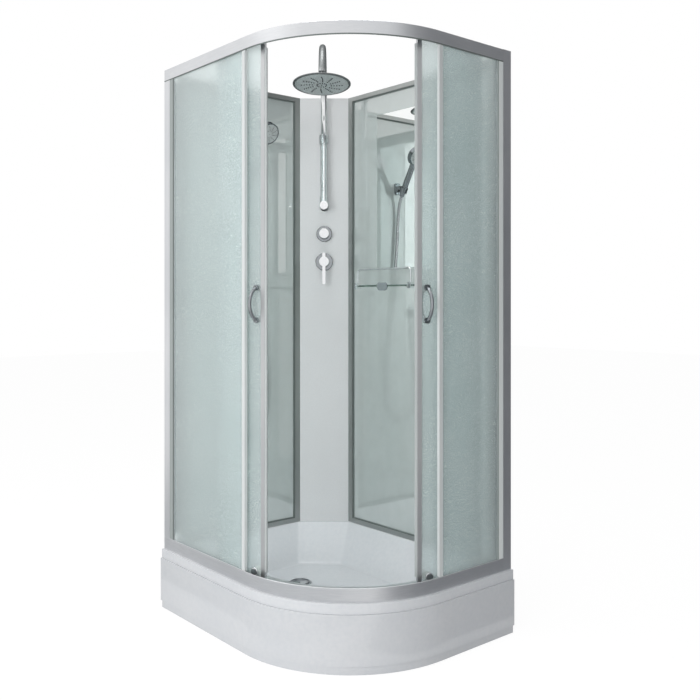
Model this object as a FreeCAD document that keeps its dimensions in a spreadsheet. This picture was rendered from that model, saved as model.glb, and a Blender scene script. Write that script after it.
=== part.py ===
import FreeCAD, Part
import math
import os
import re

import Sketcher
from FreeCAD import Placement, Rotation, Vector

# Sizes in millimetres and degrees. Heights count from the floor, and the footprint is centred.
# A size that starts with = follows from sizes named before it.
SIZES = {
    # Tray: an acrylic shell with a rim and a sunken basin
    "tray_length": 1000, "tray_width": 800, "tray_radius": 450, "tray_height": 215,
    "rim_height": 32, "rim_inset": 5, "tray_shell": 5, "rim_front": 78, "rim_back": 24,
    "mouth_long": 162, "mouth_short": 136, "basin_height": 80, "basin_front": 120,
    "basin_back": 124, "basin_long": 137, "basin_short": 115, "basin_fold": 24, "mouth_fold": 9,
    # Front panel below the rim
    "panel_wall": 4, "panel_flange": 20, "plinth_height": 27, "plinth_setback": 6,
    # Support frame and feet
    "ladder_bar": 25, "ladder_left": 80, "ladder_right": 200, "ladder_half": 182.5,
    "ladder_cross": 130, "ladder_bottom": 60, "ladder_gap": 0.3, "foot_radius": 23, "foot_pad": 8,
    "foot_rod": 5, "foot_nut": 10, "foot_nut_height": 8,
    # Drain
    "drain_from_wall": 310, "drain_x": "=drain_from_wall - tray_length / 2", "drain_y": 10,
    "drain_hole": 26, "drain_throat": 25.6, "drain_bore": 22, "drain_bowl": 40,
    "drain_bowl_bottom": 8, "drain_bowl_wall": 3, "drain_lip": 42, "drain_lip_height": 3,
    "drain_gap": 0.3, "spigot_radius": 20, "spigot_wall": 2.5, "spigot_height": 29,
    "spigot_reach": 110, "spigot_collar": 23, "spigot_collar_length": 6, "spigot_root": 9,
    "relief_length": 2, "relief_depth": 1,
    "cover_radius": 33, "cover_height": 7, "cover_stem": 8, "cover_stem_length": 30,
    # Rails, measured inward from the outer face
    "rail_setback": 15, "rail_depth": 60, "rail_wall": 2.5, "bottom_rail_height": 44,
    "top_rail_height": 40, "entrance_height": 1683,
    "top_rail_bottom": "=tray_height + bottom_rail_height + entrance_height",
    "rib_start": 10, "rib_wall": 2,
    "bottom_rib": 22, "top_rib": 17.5, "track_web": 47, "track_near": 36, "track_far": 59,
    "track_top": 28.7, "track_wall": 2, "rail_edge": 1.2,
    # Wall profiles
    "profile_width": 40, "profile_stage": 70, "profile_leaf": 3.7, "profile_depth": 12,
    "profile_base": 3, "stage_start": 1.5, "glass_play": 0.3,
    # Glass
    "glass_wall": 5, "fixed_glass_inset": 4, "fixed_left_margin": 19.5, "fixed_right_margin": 3.5,
    "fixed_left_edge": "=tray_length - tray_radius - fixed_left_margin",
    "fixed_right_edge": "=tray_width - tray_radius - fixed_right_margin",
    "strip_width": 16, "strip_start": 1.5, "strip_depth": 10, "strip_end": 3, "seat_gap": 0.3,
    # Back walls
    "wall_depth": 18, "wall_height": 1755, "bar_side": 25, "bar_end": 17, "wall_glass_back": 6,
    "rebate": 8, "rebate_play": 0.5, "gasket_width": 5, "column_left": 171, "column_right": 147,
    "column_sheet": 3,
    # Doors, on an arc about the centre of the rounded corner
    "door_inset": 28, "door_tail_angle": 2.5, "door_tip_angle": 43.6, "door_lift": 30,
    "door_head": 4.5, "door_bottom": "=tray_height + door_lift",
    "door_top": "=top_rail_bottom + top_rail_height - door_head", "door_stop_left": 273,
    "door_stop_right": 87, "door_behind_left": 257.5, "door_behind_right": 259.5, "pole_near": 70,
    "pole_far": 200, "post_angle": 42.97, "post_half": 7.5,
    "post_leaf": 3, "post_play": 0.3, "seal_width": 6.5, "seal_depth": 9, "seal_margin": 3,
    "seal_bottom": "=tray_height + bottom_rail_height + seal_margin",
    "seal_top": "=top_rail_bottom - seal_margin",
    # Rollers
    "axle_tail_angle": 6.2, "axle_lead_angle": 38.2, "axle_radius": 4, "axle_hole": 4.2, "axle_spacer": 7,
    "axle_head": 6, "axle_head_depth": 2.2, "axle_gap": 0.3, "cap_depth": 5, "bend_gap": 0.2,
    "low_cap": 13.5, "high_cap": 8, "wheel_face": 42, "wheel_width": 7, "low_wheel": 14,
    "high_wheel": 9.5, "wheel_bore": 4.06, "wheel_gap": 0.3, "high_wheel_gap": 0.4,
    "wheel_groove": 1, "wheel_rim": 2,
    # Handles
    "grip_angle": 39.2, "grip_height": 1120, "grip_half": 52.5, "grip_reach": 34, "grip_rod": 5.5,
    "grip_foot": 4, "grip_boss": 9, "grip_boss_depth": 7.5, "grip_bolt": 3, "grip_hole": 3.3,
    # Column fittings, measured outward from the face of the column
    "mixer_height": 1291, "diverter_rise": 116, "elbow_rise": 113,
    "diverter_height": "=mixer_height + diverter_rise",
    "elbow_height": "=diverter_height + elbow_rise", "hole_play": 1, "rosette_depth": 8,
    "rosette_bevel": 2, "mixer_rosette_radius": 36, "diverter_rosette_radius": 32.5,
    "body_gap": 0.3, "valve_depth": 42, "mixer_valve": 26, "diverter_valve": 20, "mixer_neck": 15,
    "neck_hole": 16, "turn_gap": 0.3, "cap_radius": 21.5, "cap_ring": 3.2, "ball_radius": 15,
    "ball_reach": 25, "cup_start": 21, "cup_end": 43, "cup_play": 0.06, "lever_width": 13,
    "lever_depth": 6, "lever_up": 36, "lever_down": 93, "spindle_radius": 5, "spindle_play": 0.05,
    "knob_radius": 21.25, "knob_end": 38, "knob_seat": 31, "knob_bevel": 2, "inlet_spread": 50,
    "inlet_radius": 10.48, "inlet_length": 28, "inlet_bore": 7, "manifold_half": 14,
    "manifold_depth": 22,
    # Riser and rain head
    "riser_reach": 42, "elbow_radius": 18.5, "elbow_length": 62, "elbow_neck": 17,
    "elbow_neck_top": 34, "elbow_socket": 14, "tube_radius": 14, "tube_bore": 12.56,
    "tube_length": 250, "tube_top": "=elbow_height + elbow_neck_top - elbow_socket + tube_length",
    "socket_play": 0.05, "collar_below": 19, "collar_above": 20,
    "collar_bottom": "=tube_top - collar_below", "collar_top": "=tube_top + collar_above",
    "collar_radius": 18.5, "collar_play": 0.06, "collar_bevel": 2, "bush_height": 19.7,
    "arm_radius": 12.5, "arm_bore": 10.5, "arm_overlap": 190, "arm_bottom": "=tube_top - arm_overlap",
    "bush_bottom": "=arm_bottom - turn_gap - bush_height", "arm_bend": 152.5, "arm_rise": 154,
    "arm_bend_height": "=collar_top + arm_rise", "arm_tip_angle": 9, "arm_neck": 5, "arm_ball": 9,
    "arm_ball_drop": 14, "arm_stop": 2.5, "head_radius": 108.5, "head_edge": 7, "head_drop": 38,
    "head_tilt_angle": 7.5, "head_crown": 12, "nut_radius": 15, "nut_up": 5, "nut_down": 16,
    "nut_play": 0.06, "face_radius": 101, "face_depth": 2.5, "face_play": 0.3,
    # Hand shower on the left wall
    "hand_from_back": 416, "hand_y": "=tray_width / 2 - hand_from_back", "holder_height": 1640,
    "holder_plate": 26, "holder_plate_half": 14, "holder_plate_depth": 8, "holder_corner": 6,
    "holder_arm": 11, "holder_reach": 44, "clip_outer": 17, "clip_bore": 13.4, "clip_half": 13,
    "clip_slot": 8, "hand_lean_angle": 28.5, "hand_stand": 32, "hand_drop": 35,
    "hose_end_x": "=wall_glass_back + glass_wall + hand_stand - tray_length / 2",
    "hose_end_z": "=holder_height - hand_drop", "hand_nut": 10.5, "hand_nut_length": 18,
    "hand_nut_cone": 2, "hand_play": 0.2, "hand_slim": 10, "hand_wide": 13, "hand_length": 158,
    "hand_head": 42.5, "hand_head_depth": 20, "hand_head_back": 8, "hand_head_up": 196,
    "clip_seat": 30,
    # Shower hose
    "hose_radius": 7, "hose_bore": 4, "hose_stand": 12.5,
    "hose_x": "=wall_glass_back + glass_wall + hose_stand - tray_length / 2", "loop_shift": 29,
    "loop_y": "=hand_y - loop_shift", "loop_z": 690, "loop_radius": 101, "outlet_shift": 89,
    "outlet_y": "=hand_y - outlet_shift", "outlet_z": 1078, "outlet_flange": 27,
    "outlet_flange_depth": 6, "outlet_radius": 12, "outlet_spigot": 10, "hose_seat": 0.3,
    # Glass shelf on the right wall
    "shelf_from_wall": 305, "shelf_length": 341, "shelf_left": "=shelf_from_wall - tray_length / 2",
    "shelf_right": "=shelf_left + shelf_length", "shelf_depth": 108, "shelf_corner": 20,
    "shelf_height": 1184, "shelf_wall": 6, "shelf_gap": 0.4, "gallery_end": 24,
    "gallery_left": "=shelf_left + gallery_end", "gallery_right": "=shelf_right - gallery_end",
    "gallery_rise": 61, "gallery_rod": 3.5, "gallery_bend": 14, "gallery_inset": 4,
    "clamp_half": 8.5, "clamp_depth": 22, "clamp_wall": 8, "clip_wide": 28, "clip_high": 15.5,
    # Supply pipes behind the column
    "pipe_radius": 6, "pipe_back": 35, "pipe_gap": 0.3,
}

NAME = re.compile(r"[a-z_]\w*")
TOUCH = 1e-6
FULL_TURN = 360
# The rounded corner runs from 0 to 90 degrees, and the doors mirror each other about its middle
CORNER_MIDDLE = 45
# A through cut runs this many wall thicknesses
THROUGH = 4
# The hose between hand shower and loop: share of the fall and share of the sway at each corner
HOSE_FALL = ((0.22, 0.14), (0.40, 0.36), (0.58, 0.62), (0.76, 0.92), (0.90, 1.03))
# Bearings of the loop's corners, and the rising run's share of sway and of height
LOOP_TURNS = (-20, -60, -100, -140, -180)
RISE_SWAY, RISE_LOW, RISE_HIGH = 0.6, 0.32, 0.28
# Share of each run that a corner's arc takes
CORNER_SHARE = 0.45

doc = FreeCAD.newDocument("ShowerCabin")
sheet = doc.addObject("Spreadsheet::Sheet", "Sizes")
for row, (size_name, size_value) in enumerate(SIZES.items(), start=1):
    sheet.set(f"A{row}", size_name)
    sheet.set(f"B{row}", str(size_value))
    sheet.setAlias(f"B{row}", size_name)
doc.recompute()

parts = []


def num(text):
    """Return the present value of an expression over the size names."""
    return float(sheet.evalExpression(str(text)))


def bind(text):
    """Return an expression with each size name pointing at the sheet."""
    return NAME.sub(lambda hit: f"Sizes.{hit[0]}" if hit[0] in SIZES else hit[0], str(text))


def tie(item, path, text):
    """Bind one property or datum of an object to the sheet."""
    item.setExpression(path, bind(text))


def keep(item, label, place=None):
    """Name a finished piece, put it in its place and list it for writing."""
    item.Label = label
    if place is not None:
        item.Placement = place
    parts.append(item)
    return item


def group(label, members):
    """Gather like pieces under one name."""
    bundle = doc.addObject("Part::Compound", "Group")
    bundle.Links = members
    return keep(bundle, label)


def new_body():
    """Return a body with nothing in it."""
    return doc.addObject("PartDesign::Body", "Piece")


def sketch_on(body, role, lift="0", turn=None):
    """Return a sketch on one of the body's planes, lifted along the plane's normal."""
    base = [item for item in body.Origin.OriginFeatures if item.Role == role][0]
    sketch = body.newObject("Sketcher::SketchObject", "Outline")
    sketch.AttachmentSupport = [(base, "")]
    sketch.MapMode = "FlatFace"
    if turn is not None:
        sketch.AttachmentOffset = Placement(Vector(), turn)
    tie(sketch, ".AttachmentOffset.Base.z", lift)
    return sketch


def hold(sketch, kind, index, spot, text):
    """Fix one coordinate of a sketched point at an expression."""
    number = sketch.addConstraint(Sketcher.Constraint(kind, -1, 1, index, spot, num(text)))
    tie(sketch, f"Constraints[{number}]", text)


def arc_middle(start, stop, radius):
    """Return the middle of the short arc from start to stop that turns left."""
    chord = stop - start
    right = Vector(chord.y, -chord.x, 0).normalize()
    rise = radius - math.sqrt(max(radius ** 2 - (chord.Length / 2) ** 2, 0))
    return (start + stop) / 2 + right * rise


def draw(sketch, corners, closed=True):
    """Draw lines and arcs through corners, each (x, y) or (x, y, radius of the arc to it)."""
    spots = [Vector(num(corner[0]), num(corner[1]), 0) for corner in corners]
    total = len(spots)
    ends = []
    for i in range(total if closed else total - 1):
        target = (i + 1) % total
        radius = corners[target][2] if len(corners[target]) == 3 else "0"
        bend = num(radius)
        start, stop = (spots[target], spots[i]) if bend < 0 else (spots[i], spots[target])
        edge = Part.LineSegment(start, stop)
        if bend:
            edge = Part.Arc(start, arc_middle(start, stop, abs(bend)), stop)
        index = sketch.addGeometry(edge, False)
        ends.append((index, 2, 1) if bend < 0 else (index, 1, 2))
        if 2 * abs(bend) - (stop - start).Length > TOUCH:
            number = sketch.addConstraint(Sketcher.Constraint("Radius", index, abs(bend)))
            tie(sketch, f"Constraints[{number}]", f"abs({radius})")
    for before, after in zip(ends, ends[1:] + (ends[:1] if closed else [])):
        sketch.addConstraint(Sketcher.Constraint("Coincident", before[0], before[2], after[0], after[1]))
    for i, (index, first, last) in enumerate(ends):
        hold(sketch, "DistanceX", index, first, corners[i][0])
        hold(sketch, "DistanceY", index, first, corners[i][1])
    if not closed:
        hold(sketch, "DistanceX", ends[-1][0], ends[-1][2], corners[-1][0])
        hold(sketch, "DistanceY", ends[-1][0], ends[-1][2], corners[-1][1])


def ring(sketch, x, y, radius):
    """Draw one full circle."""
    index = sketch.addGeometry(Part.Circle(Vector(num(x), num(y), 0), Vector(0, 0, 1), num(radius)), False)
    hold(sketch, "DistanceX", index, 3, x)
    hold(sketch, "DistanceY", index, 3, y)
    number = sketch.addConstraint(Sketcher.Constraint("Radius", index, num(radius)))
    tie(sketch, f"Constraints[{number}]", radius)


def hinge_line(sketch, y, half):
    """Draw a level construction line to turn a shape about."""
    ends = (Vector(-num(half), num(y), 0), Vector(num(half), num(y), 0))
    index = sketch.addGeometry(Part.LineSegment(*ends), True)
    for spot, x in ((1, f"-{half}"), (2, half)):
        hold(sketch, "DistanceX", index, spot, x)
        hold(sketch, "DistanceY", index, spot, y)


def box_corners(x_low, x_high, y_low, y_high):
    """Return the corners of an upright rectangle."""
    return [(x_low, y_low), (x_high, y_low), (x_high, y_high), (x_low, y_high)]


def pad(body, sketch, length, reverse=False):
    """Add the sketched outline to the body over a length."""
    feature = body.newObject("PartDesign::Pad", "Pad")
    feature.Profile = sketch
    feature.Reversed = reverse
    tie(feature, "Length", length)
    return feature


def pocket(body, sketch, length, reverse=False):
    """Take the sketched outline out of the body over a length."""
    doc.recompute()
    feature = body.newObject("PartDesign::Pocket", "Pocket")
    feature.Profile = sketch
    feature.Reversed = reverse
    tie(feature, "Length", length)
    return feature


def spin(body, corners, lift="0"):
    """Add a shape turned about the body's upright axis."""
    sketch = sketch_on(body, "XZ_Plane", lift)
    draw(sketch, corners)
    feature = body.newObject("PartDesign::Revolution", "Turned")
    feature.Profile = sketch
    feature.ReferenceAxis = (sketch, ["V_Axis"])
    feature.Angle = FULL_TURN
    return feature


def turned(corners):
    """Return a body turned from a half outline of (radius, height) corners."""
    body = new_body()
    spin(body, corners)
    return body


def extruded(corners, bottom, length, holes=()):
    """Return a body with a level outline raised from one height over a length."""
    body = new_body()
    sketch = sketch_on(body, "XY_Plane", bottom)
    draw(sketch, corners)
    for hole in holes:
        draw(sketch, hole)
    pad(body, sketch, length)
    return body


def swept(body, path, path_role, section, section_role, lift, rings=()):
    """Add a section led along a path to the body."""
    spine = sketch_on(body, path_role)
    draw(spine, path, closed=False)
    outline = sketch_on(body, section_role, lift)
    if section:
        draw(outline, section)
    for circle in rings:
        ring(outline, *circle)
    doc.recompute()
    feature = body.newObject("PartDesign::AdditivePipe", "Swept")
    feature.Profile = outline
    feature.Spine = spine
    return body


LEFT = "(-tray_length / 2)"
RIGHT = "(tray_length / 2)"
FRONT = "(-tray_width / 2)"
BACK = "(tray_width / 2)"
ARC_X = "(tray_length / 2 - tray_radius)"
ARC_Y = "(tray_radius - tray_width / 2)"
RAIL_Y = f"({FRONT} + rail_setback)"
RAIL_X = f"({RIGHT} - rail_setback)"
RAIL_RADIUS = "(tray_radius - rail_setback)"
WALL_TOP = "(tray_height + wall_height)"


def front_path(inset, stop):
    """Return the route along the front of the cabin at an inset from the footprint."""
    return [
        (LEFT, f"{FRONT} + {inset}"),
        (ARC_X, f"{FRONT} + {inset}"),
        (f"{RIGHT} - {inset}", ARC_Y, f"tray_radius - {inset}"),
        (f"{RIGHT} - {inset}", stop),
    ]


def footprint(inset, margin):
    """Return the rounded outline of the cabin, drawn in at the front and at the walls."""
    return [
        (f"{LEFT} + {margin}", f"{BACK} - {margin}"),
        (f"{LEFT} + {margin}", f"{FRONT} + {inset}"),
        (ARC_X, f"{FRONT} + {inset}"),
        (f"{RIGHT} - {inset}", ARC_Y, f"tray_radius - {inset}"),
        (f"{RIGHT} - {inset}", f"{BACK} - {margin}"),
    ]


def basin(front, back, long, short):
    """Return the outline of the basin with its back corner cut off."""
    outline = footprint(front, back)
    left, rear = outline[0]
    return [(left, f"{rear} - {long}")] + outline[1:] + [(f"{left} + {short}", rear)]


def inside(box, margin):
    """Tell whether a box lies clear of the footprint's sides by more than a margin."""
    low = min(box.XMin - num(LEFT), box.YMin - num(FRONT) - margin)
    high = min(num(RIGHT) - margin - box.XMax, num(BACK) - box.YMax)
    return min(low, high) > TOUCH


def soften(body, chosen, radius):
    """Round the edges whose boxes are chosen."""
    doc.recompute()
    base = body.Tip
    edges = enumerate(base.Shape.Edges, start=1)
    names = [f"Edge{number}" for number, edge in edges if chosen(edge.BoundBox)]
    fold = body.newObject("PartDesign::Fillet", "Fold")
    fold.Base = (base, names)
    tie(fold, "Radius", radius)
    doc.recompute()


def build_tray():
    """Build the tray, the panel below its rim, the frame, the feet and the drain."""
    body = new_body()
    rim_bottom = "tray_height - rim_height"
    rim = sketch_on(body, "XY_Plane", rim_bottom)
    draw(rim, footprint("rim_inset", "0"))
    pad(body, rim, "rim_height")
    hollow = sketch_on(body, "XY_Plane", rim_bottom)
    draw(hollow, footprint("(rim_inset + tray_shell)", "tray_shell"))
    pocket(body, hollow, "rim_height - tray_shell", reverse=True)
    for kind, grow, sink in (("AdditiveLoft", "tray_shell", "tray_shell"), ("SubtractiveLoft", "0", "0")):
        mouth = sketch_on(body, "XY_Plane", "tray_height")
        draw(mouth, basin(f"(rim_front - {grow})", f"(rim_back - {grow})", "mouth_long", "mouth_short"))
        floor = sketch_on(body, "XY_Plane", f"basin_height - {sink}")
        draw(floor, basin(f"(basin_front - {grow})", f"(basin_back - {grow})", "basin_long", "basin_short"))
        doc.recompute()
        bowl = body.newObject(f"PartDesign::{kind}", "Bowl")
        bowl.Profile = mouth
        bowl.Sections = [floor]
        bowl.Ruled = True
        doc.recompute()
    floor_level, rim_level, outline = num("basin_height"), num("tray_height"), num("rim_inset")
    soften(body, lambda box: abs(box.ZMin - floor_level) < TOUCH, "basin_fold")
    soften(body, lambda box: abs(box.ZMin - rim_level) < TOUCH and inside(box, outline), "mouth_fold")
    hole = sketch_on(body, "XY_Plane", "basin_height + tray_shell")
    ring(hole, "drain_x", "drain_y", "drain_hole")
    pocket(body, hole, f"{THROUGH} * tray_shell")
    keep(body, "tray")

    top = "(tray_height - rim_height - ladder_gap)"
    inner = f"{FRONT} + panel_wall"
    low = f"{FRONT} + plinth_setback"
    section = [
        (FRONT, "plinth_height"), (FRONT, top), (f"{FRONT} + panel_flange", top),
        (f"{FRONT} + panel_flange", f"{top} - panel_wall"), (inner, f"{top} - panel_wall"),
        (inner, "plinth_height + panel_wall"), (f"{low} + panel_wall", "plinth_height + panel_wall"),
        (f"{low} + panel_wall", "0"), (low, "0"), (low, "plinth_height"),
    ]
    keep(swept(new_body(), front_path("0", BACK), "XY_Plane", section, "YZ_Plane", LEFT), "apron")

    start = f"({LEFT} + ladder_left)"
    stop = f"({RIGHT} - ladder_right)"
    middle = f"({LEFT} + drain_from_wall + ladder_cross)"
    side = "(ladder_half - ladder_bar)"
    windows = [
        box_corners(f"{start} + ladder_bar", f"{middle} - ladder_bar / 2", f"-{side}", side),
        box_corners(f"{middle} + ladder_bar / 2", f"{stop} - ladder_bar", f"-{side}", side),
    ]
    height = "(basin_height - tray_shell - ladder_gap - ladder_bottom)"
    outline = box_corners(start, stop, "-ladder_half", "ladder_half")
    keep(extruded(outline, "ladder_bottom", height, windows), "tray_frame")

    foot = [
        ("0", "0"), ("foot_radius", "0"), ("foot_radius", "foot_pad / 2"), ("foot_nut", "foot_pad"),
        ("foot_rod", "foot_pad"), ("foot_rod", "ladder_bottom - foot_nut_height"),
        ("foot_nut", "ladder_bottom - foot_nut_height"), ("foot_nut", "ladder_bottom"),
        ("0", "ladder_bottom"),
    ]
    edge = "(ladder_half - ladder_bar / 2)"
    ends = (f"{start} + ladder_bar / 2", f"{stop} - ladder_bar / 2")
    spots = [(x, y) for x in ends for y in (edge, f"-{edge}")] + [(middle, "0")]
    feet = []
    for x, y in spots:
        feet.append(turned(foot))
        feet[-1].Placement.Base = Vector(num(x), num(y), 0)
    group("leveling_feet", feet)

    spot = Placement(Vector(num("drain_x"), num("drain_y"), 0), Rotation())
    under = "(basin_height - tray_shell - drain_gap)"
    bowl = new_body()
    spin(bowl, [
        ("0", "drain_bowl_bottom"), ("drain_bowl", "drain_bowl_bottom"), ("drain_bowl", under),
        ("drain_throat + drain_gap", under), ("drain_throat + drain_gap", f"{under} - drain_bowl_wall"),
        ("drain_bowl - drain_bowl_wall", f"{under} - drain_bowl_wall"),
        ("drain_bowl - drain_bowl_wall", "drain_bowl_bottom + drain_bowl_wall"),
        ("0", "drain_bowl_bottom + drain_bowl_wall"),
    ])
    free = "(spigot_reach - drain_bowl)"
    stages = (
        ("spigot_radius - relief_depth", f"{free} + spigot_root"),
        ("spigot_radius", f"{free} - spigot_collar_length - relief_length"),
    )
    for size, length in stages:
        pipe = sketch_on(bowl, "YZ_Plane", "-spigot_reach")
        ring(pipe, "0", "spigot_height", size)
        pad(bowl, pipe, length)
    collar = sketch_on(bowl, "YZ_Plane", "-drain_bowl - spigot_collar_length")
    ring(collar, "0", "spigot_height", "spigot_collar")
    pad(bowl, collar, "spigot_collar_length + spigot_root")
    bore = sketch_on(bowl, "YZ_Plane", "-spigot_reach")
    ring(bore, "0", "spigot_height", "spigot_radius - spigot_wall")
    pocket(bowl, bore, "spigot_reach - drain_bowl / 2", reverse=True)
    keep(bowl, "drain_body", spot)
    lip = "(basin_height + drain_lip_height)"
    keep(turned([
        ("drain_bore", f"{under} - drain_bowl_wall"), ("drain_throat", f"{under} - drain_bowl_wall"),
        ("drain_throat", "basin_height"), ("drain_lip", "basin_height"), ("drain_lip", f"{lip} - rail_edge"),
        ("drain_lip - rail_edge", lip), ("drain_bore", lip),
    ]), "drain_flange", spot)
    rest = f"({lip} + drain_gap)"
    keep(turned([
        ("0", f"{rest} - cover_stem_length"), ("cover_stem", f"{rest} - cover_stem_length"),
        ("cover_stem", rest), ("cover_radius", rest), ("cover_radius", f"{rest} + cover_height / 2"),
        ("cover_radius / 2", f"{rest} + cover_height"), ("0", f"{rest} + cover_height"),
    ]), "drain_cover", spot)


def build_rails():
    """Build both curved rails, the wall profiles, the fixed panes and their edge strips."""
    def at(depth):
        return f"{RAIL_Y} + {depth}"

    edge = "rail_edge"
    far = "top_rail_height - rail_wall"
    rib_far = "rib_start + rib_wall"
    top = [
        (at("0"), "0"), (at("0"), f"top_rail_height - {edge}"), (at(edge), "top_rail_height"),
        (at("rail_depth"), "top_rail_height"), (at("rail_depth"), far), (at(rib_far), far),
        (at(rib_far), f"{far} - top_rib"), (at("rib_start"), f"{far} - top_rib"), (at("rib_start"), far),
        (at("rail_wall"), far), (at("rail_wall"), "0"),
    ]
    under = "track_top - track_wall"
    web_far = "track_web + rib_wall"
    bottom = [
        (at("0"), "0"), (at("0"), f"bottom_rail_height - {edge}"), (at(edge), "bottom_rail_height"),
        (at("rail_wall"), "bottom_rail_height"), (at("rail_wall"), "rail_wall"),
        (at("rib_start"), "rail_wall"),
        (at("rib_start"), "bottom_rib"), (at(rib_far), "bottom_rib"), (at(rib_far), "rail_wall"),
        (at("track_web"), "rail_wall"), (at("track_web"), under), (at("track_near"), under),
        (at("track_near"), "track_top"), (at("track_far"), "track_top"), (at("track_far"), under),
        (at(web_far), under), (at(web_far), "rail_wall"), (at("rail_depth"), "rail_wall"),
        (at("rail_depth"), "0"),
    ]
    path = front_path("rail_setback", f"{BACK} - profile_width")
    rails = (("top_rail", top, "top_rail_bottom"), ("bottom_rail", bottom, "tray_height"))
    for label, section, height in rails:
        rail = swept(new_body(), path, "XY_Plane", section, "YZ_Plane", LEFT)
        keep(rail, label, Placement(Vector(0, 0, num(height)), Rotation()))

    low = "(tray_height + bottom_rail_height)"
    slot = "(profile_leaf + glass_wall + 2 * glass_play)"
    main = [
        ("0", "0"), ("profile_width", "0"), ("profile_width", "profile_leaf"),
        ("profile_base", "profile_leaf"),
        ("profile_base", slot), ("profile_width", slot), ("profile_width", "profile_depth"),
        ("profile_base", "profile_depth"), ("profile_base", "rail_depth"), ("0", "rail_depth"),
    ]
    stage = box_corners("profile_width - profile_base", "profile_stage", "stage_start", "profile_leaf")
    strip = "strip_start + strip_depth"
    cheek = "strip_start + (strip_depth - glass_wall) / 2 - seat_gap"
    inner = "strip_start + (strip_depth + glass_wall) / 2 + seat_gap"
    seat = "strip_width - strip_end"
    hook = [
        ("0", "strip_start"), ("strip_width", "strip_start"), ("strip_width", strip), ("0", strip),
        ("0", inner), (seat, inner), (seat, cheek), ("0", cheek),
    ]
    pane_low = "(tray_height + rail_wall + seat_gap)"
    pane_high = "(top_rail_bottom + top_rail_height - rail_wall - seat_gap)"
    sides = {
        "left": (lambda x, u: (f"{LEFT} + {x}", f"{RAIL_Y} + {u}"), low, "top_rail_bottom",
                 "fixed_left_edge"),
        "right": (lambda x, u: (f"{RAIL_X} - ({u})", f"{BACK} - ({x})"), "tray_height",
                  "(top_rail_bottom + top_rail_height)", "fixed_right_edge"),
    }
    strips = []
    for side, (spot, base, head, free_edge) in sides.items():
        profile = extruded([spot(*corner) for corner in main], base, f"{head} - {base}")
        step = sketch_on(profile, "XY_Plane", f"{low} + seat_gap")
        draw(step, [spot(*corner) for corner in stage])
        pad(profile, step, f"top_rail_bottom - {low} - 2 * seat_gap")
        keep(profile, f"{side}_wall_profile")
        pane = box_corners("profile_base + glass_play", free_edge, "fixed_glass_inset",
                           "fixed_glass_inset + glass_wall")
        keep(extruded([spot(*corner) for corner in pane], pane_low, f"{pane_high} - {pane_low}"),
             f"{side}_fixed_glass")
        shift = f"{free_edge} + seat_gap - ({seat})"
        outline = [spot(f"{shift} + {x}", u) for x, u in hook]
        strips.append(extruded(outline, f"{low} + seat_gap", f"top_rail_bottom - {low} - 2 * seat_gap"))
    group("end_strips", strips)


def build_walls():
    """Build the two framed back walls and the corner column with its openings."""
    left_width = f"({BACK} - column_left - {FRONT} - rail_setback - rail_depth)"
    right_width = f"({RAIL_X} - rail_depth - {LEFT} - column_right)"
    left_place = Placement(
        Vector(num(LEFT), num(f"{RAIL_Y} + rail_depth"), num("tray_height")),
        Rotation(Vector(0, 1, 0), Vector(0, 0, 1), Vector(1, 0, 0), "ZXY"))
    right_place = Placement(
        Vector(num(f"{LEFT} + column_right"), num(BACK), num("tray_height")),
        Rotation(Vector(1, 0, 0), Vector(0, 0, 1), Vector(0, -1, 0), "ZXY"))
    front = "(wall_glass_back + glass_wall)"
    gaskets = []
    for side, width, place in (("left", left_width, left_place), ("right", right_width, right_place)):
        def inset(grow, width=width):
            return box_corners(f"bar_side - {grow}", f"{width} - bar_side + {grow}",
                               f"bar_end - {grow}", f"wall_height - bar_end + {grow}")

        frame = extruded(box_corners("0", width, "0", "wall_height"), "0", "wall_depth", [inset("0")])
        seat = sketch_on(frame, "XY_Plane", "0")
        draw(seat, inset("rebate"))
        pocket(frame, seat, front, reverse=True)
        keep(frame, f"{side}_wall_frame", place)
        pane = extruded(inset("(rebate - rebate_play)"), "wall_glass_back", "glass_wall")
        keep(pane, f"{side}_wall_glass", place)
        gaskets.append(extruded(inset("(-seat_gap)"), front, "gasket_width",
                                [inset("(-gasket_width - seat_gap)")]))
        gaskets[-1].Placement = place
    group("wall_gaskets", gaskets)

    run = "(column_right - wall_depth)"
    rise = "(column_left - wall_depth)"
    span = f"sqrt({run} ^ 2 + {rise} ^ 2)"
    cos, sin = f"({run} / {span})", f"({rise} / {span})"
    gauge = "column_sheet"
    corners = [
        (f"-{span} / 2 - wall_depth * {cos}", f"wall_depth * {sin}"), (f"-{span} / 2", "0"),
        (f"{span} / 2", "0"), (f"{span} / 2 + wall_depth * {sin}", f"wall_depth * {cos}"),
        (f"{span} / 2 + wall_depth * {sin} - {gauge} * {cos}", f"wall_depth * {cos} + {gauge} * {sin}"),
        (f"{span} / 2 - {gauge} * {cos} + {gauge} * (1 - {sin}) / {cos} * {sin}", gauge),
        (f"-{span} / 2 + {gauge} * {sin} - {gauge} * (1 - {cos}) / {sin} * {cos}", gauge),
        (f"-{span} / 2 + {gauge} * {sin} - wall_depth * {cos}", f"{gauge} * {cos} + wall_depth * {sin}"),
    ]
    column = extruded(corners, "tray_height", "wall_height")
    holes = sketch_on(column, "XZ_Plane", "0")
    ring(holes, "0", "mixer_height", "neck_hole")
    ring(holes, "0", "diverter_height", "spindle_radius + hole_play")
    ring(holes, "0", "elbow_height", "pipe_radius + hole_play")
    pocket(column, holes, f"{THROUGH} * column_sheet")
    keep(column, "corner_column", Placement(column_point(0, 0), Rotation(Vector(0, 0, 1), column_angle())))


def column_angle():
    """Return the direction of the column's face in degrees from the long axis."""
    return math.degrees(math.atan2(num("column_left - wall_depth"), num("column_right - wall_depth")))


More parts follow.
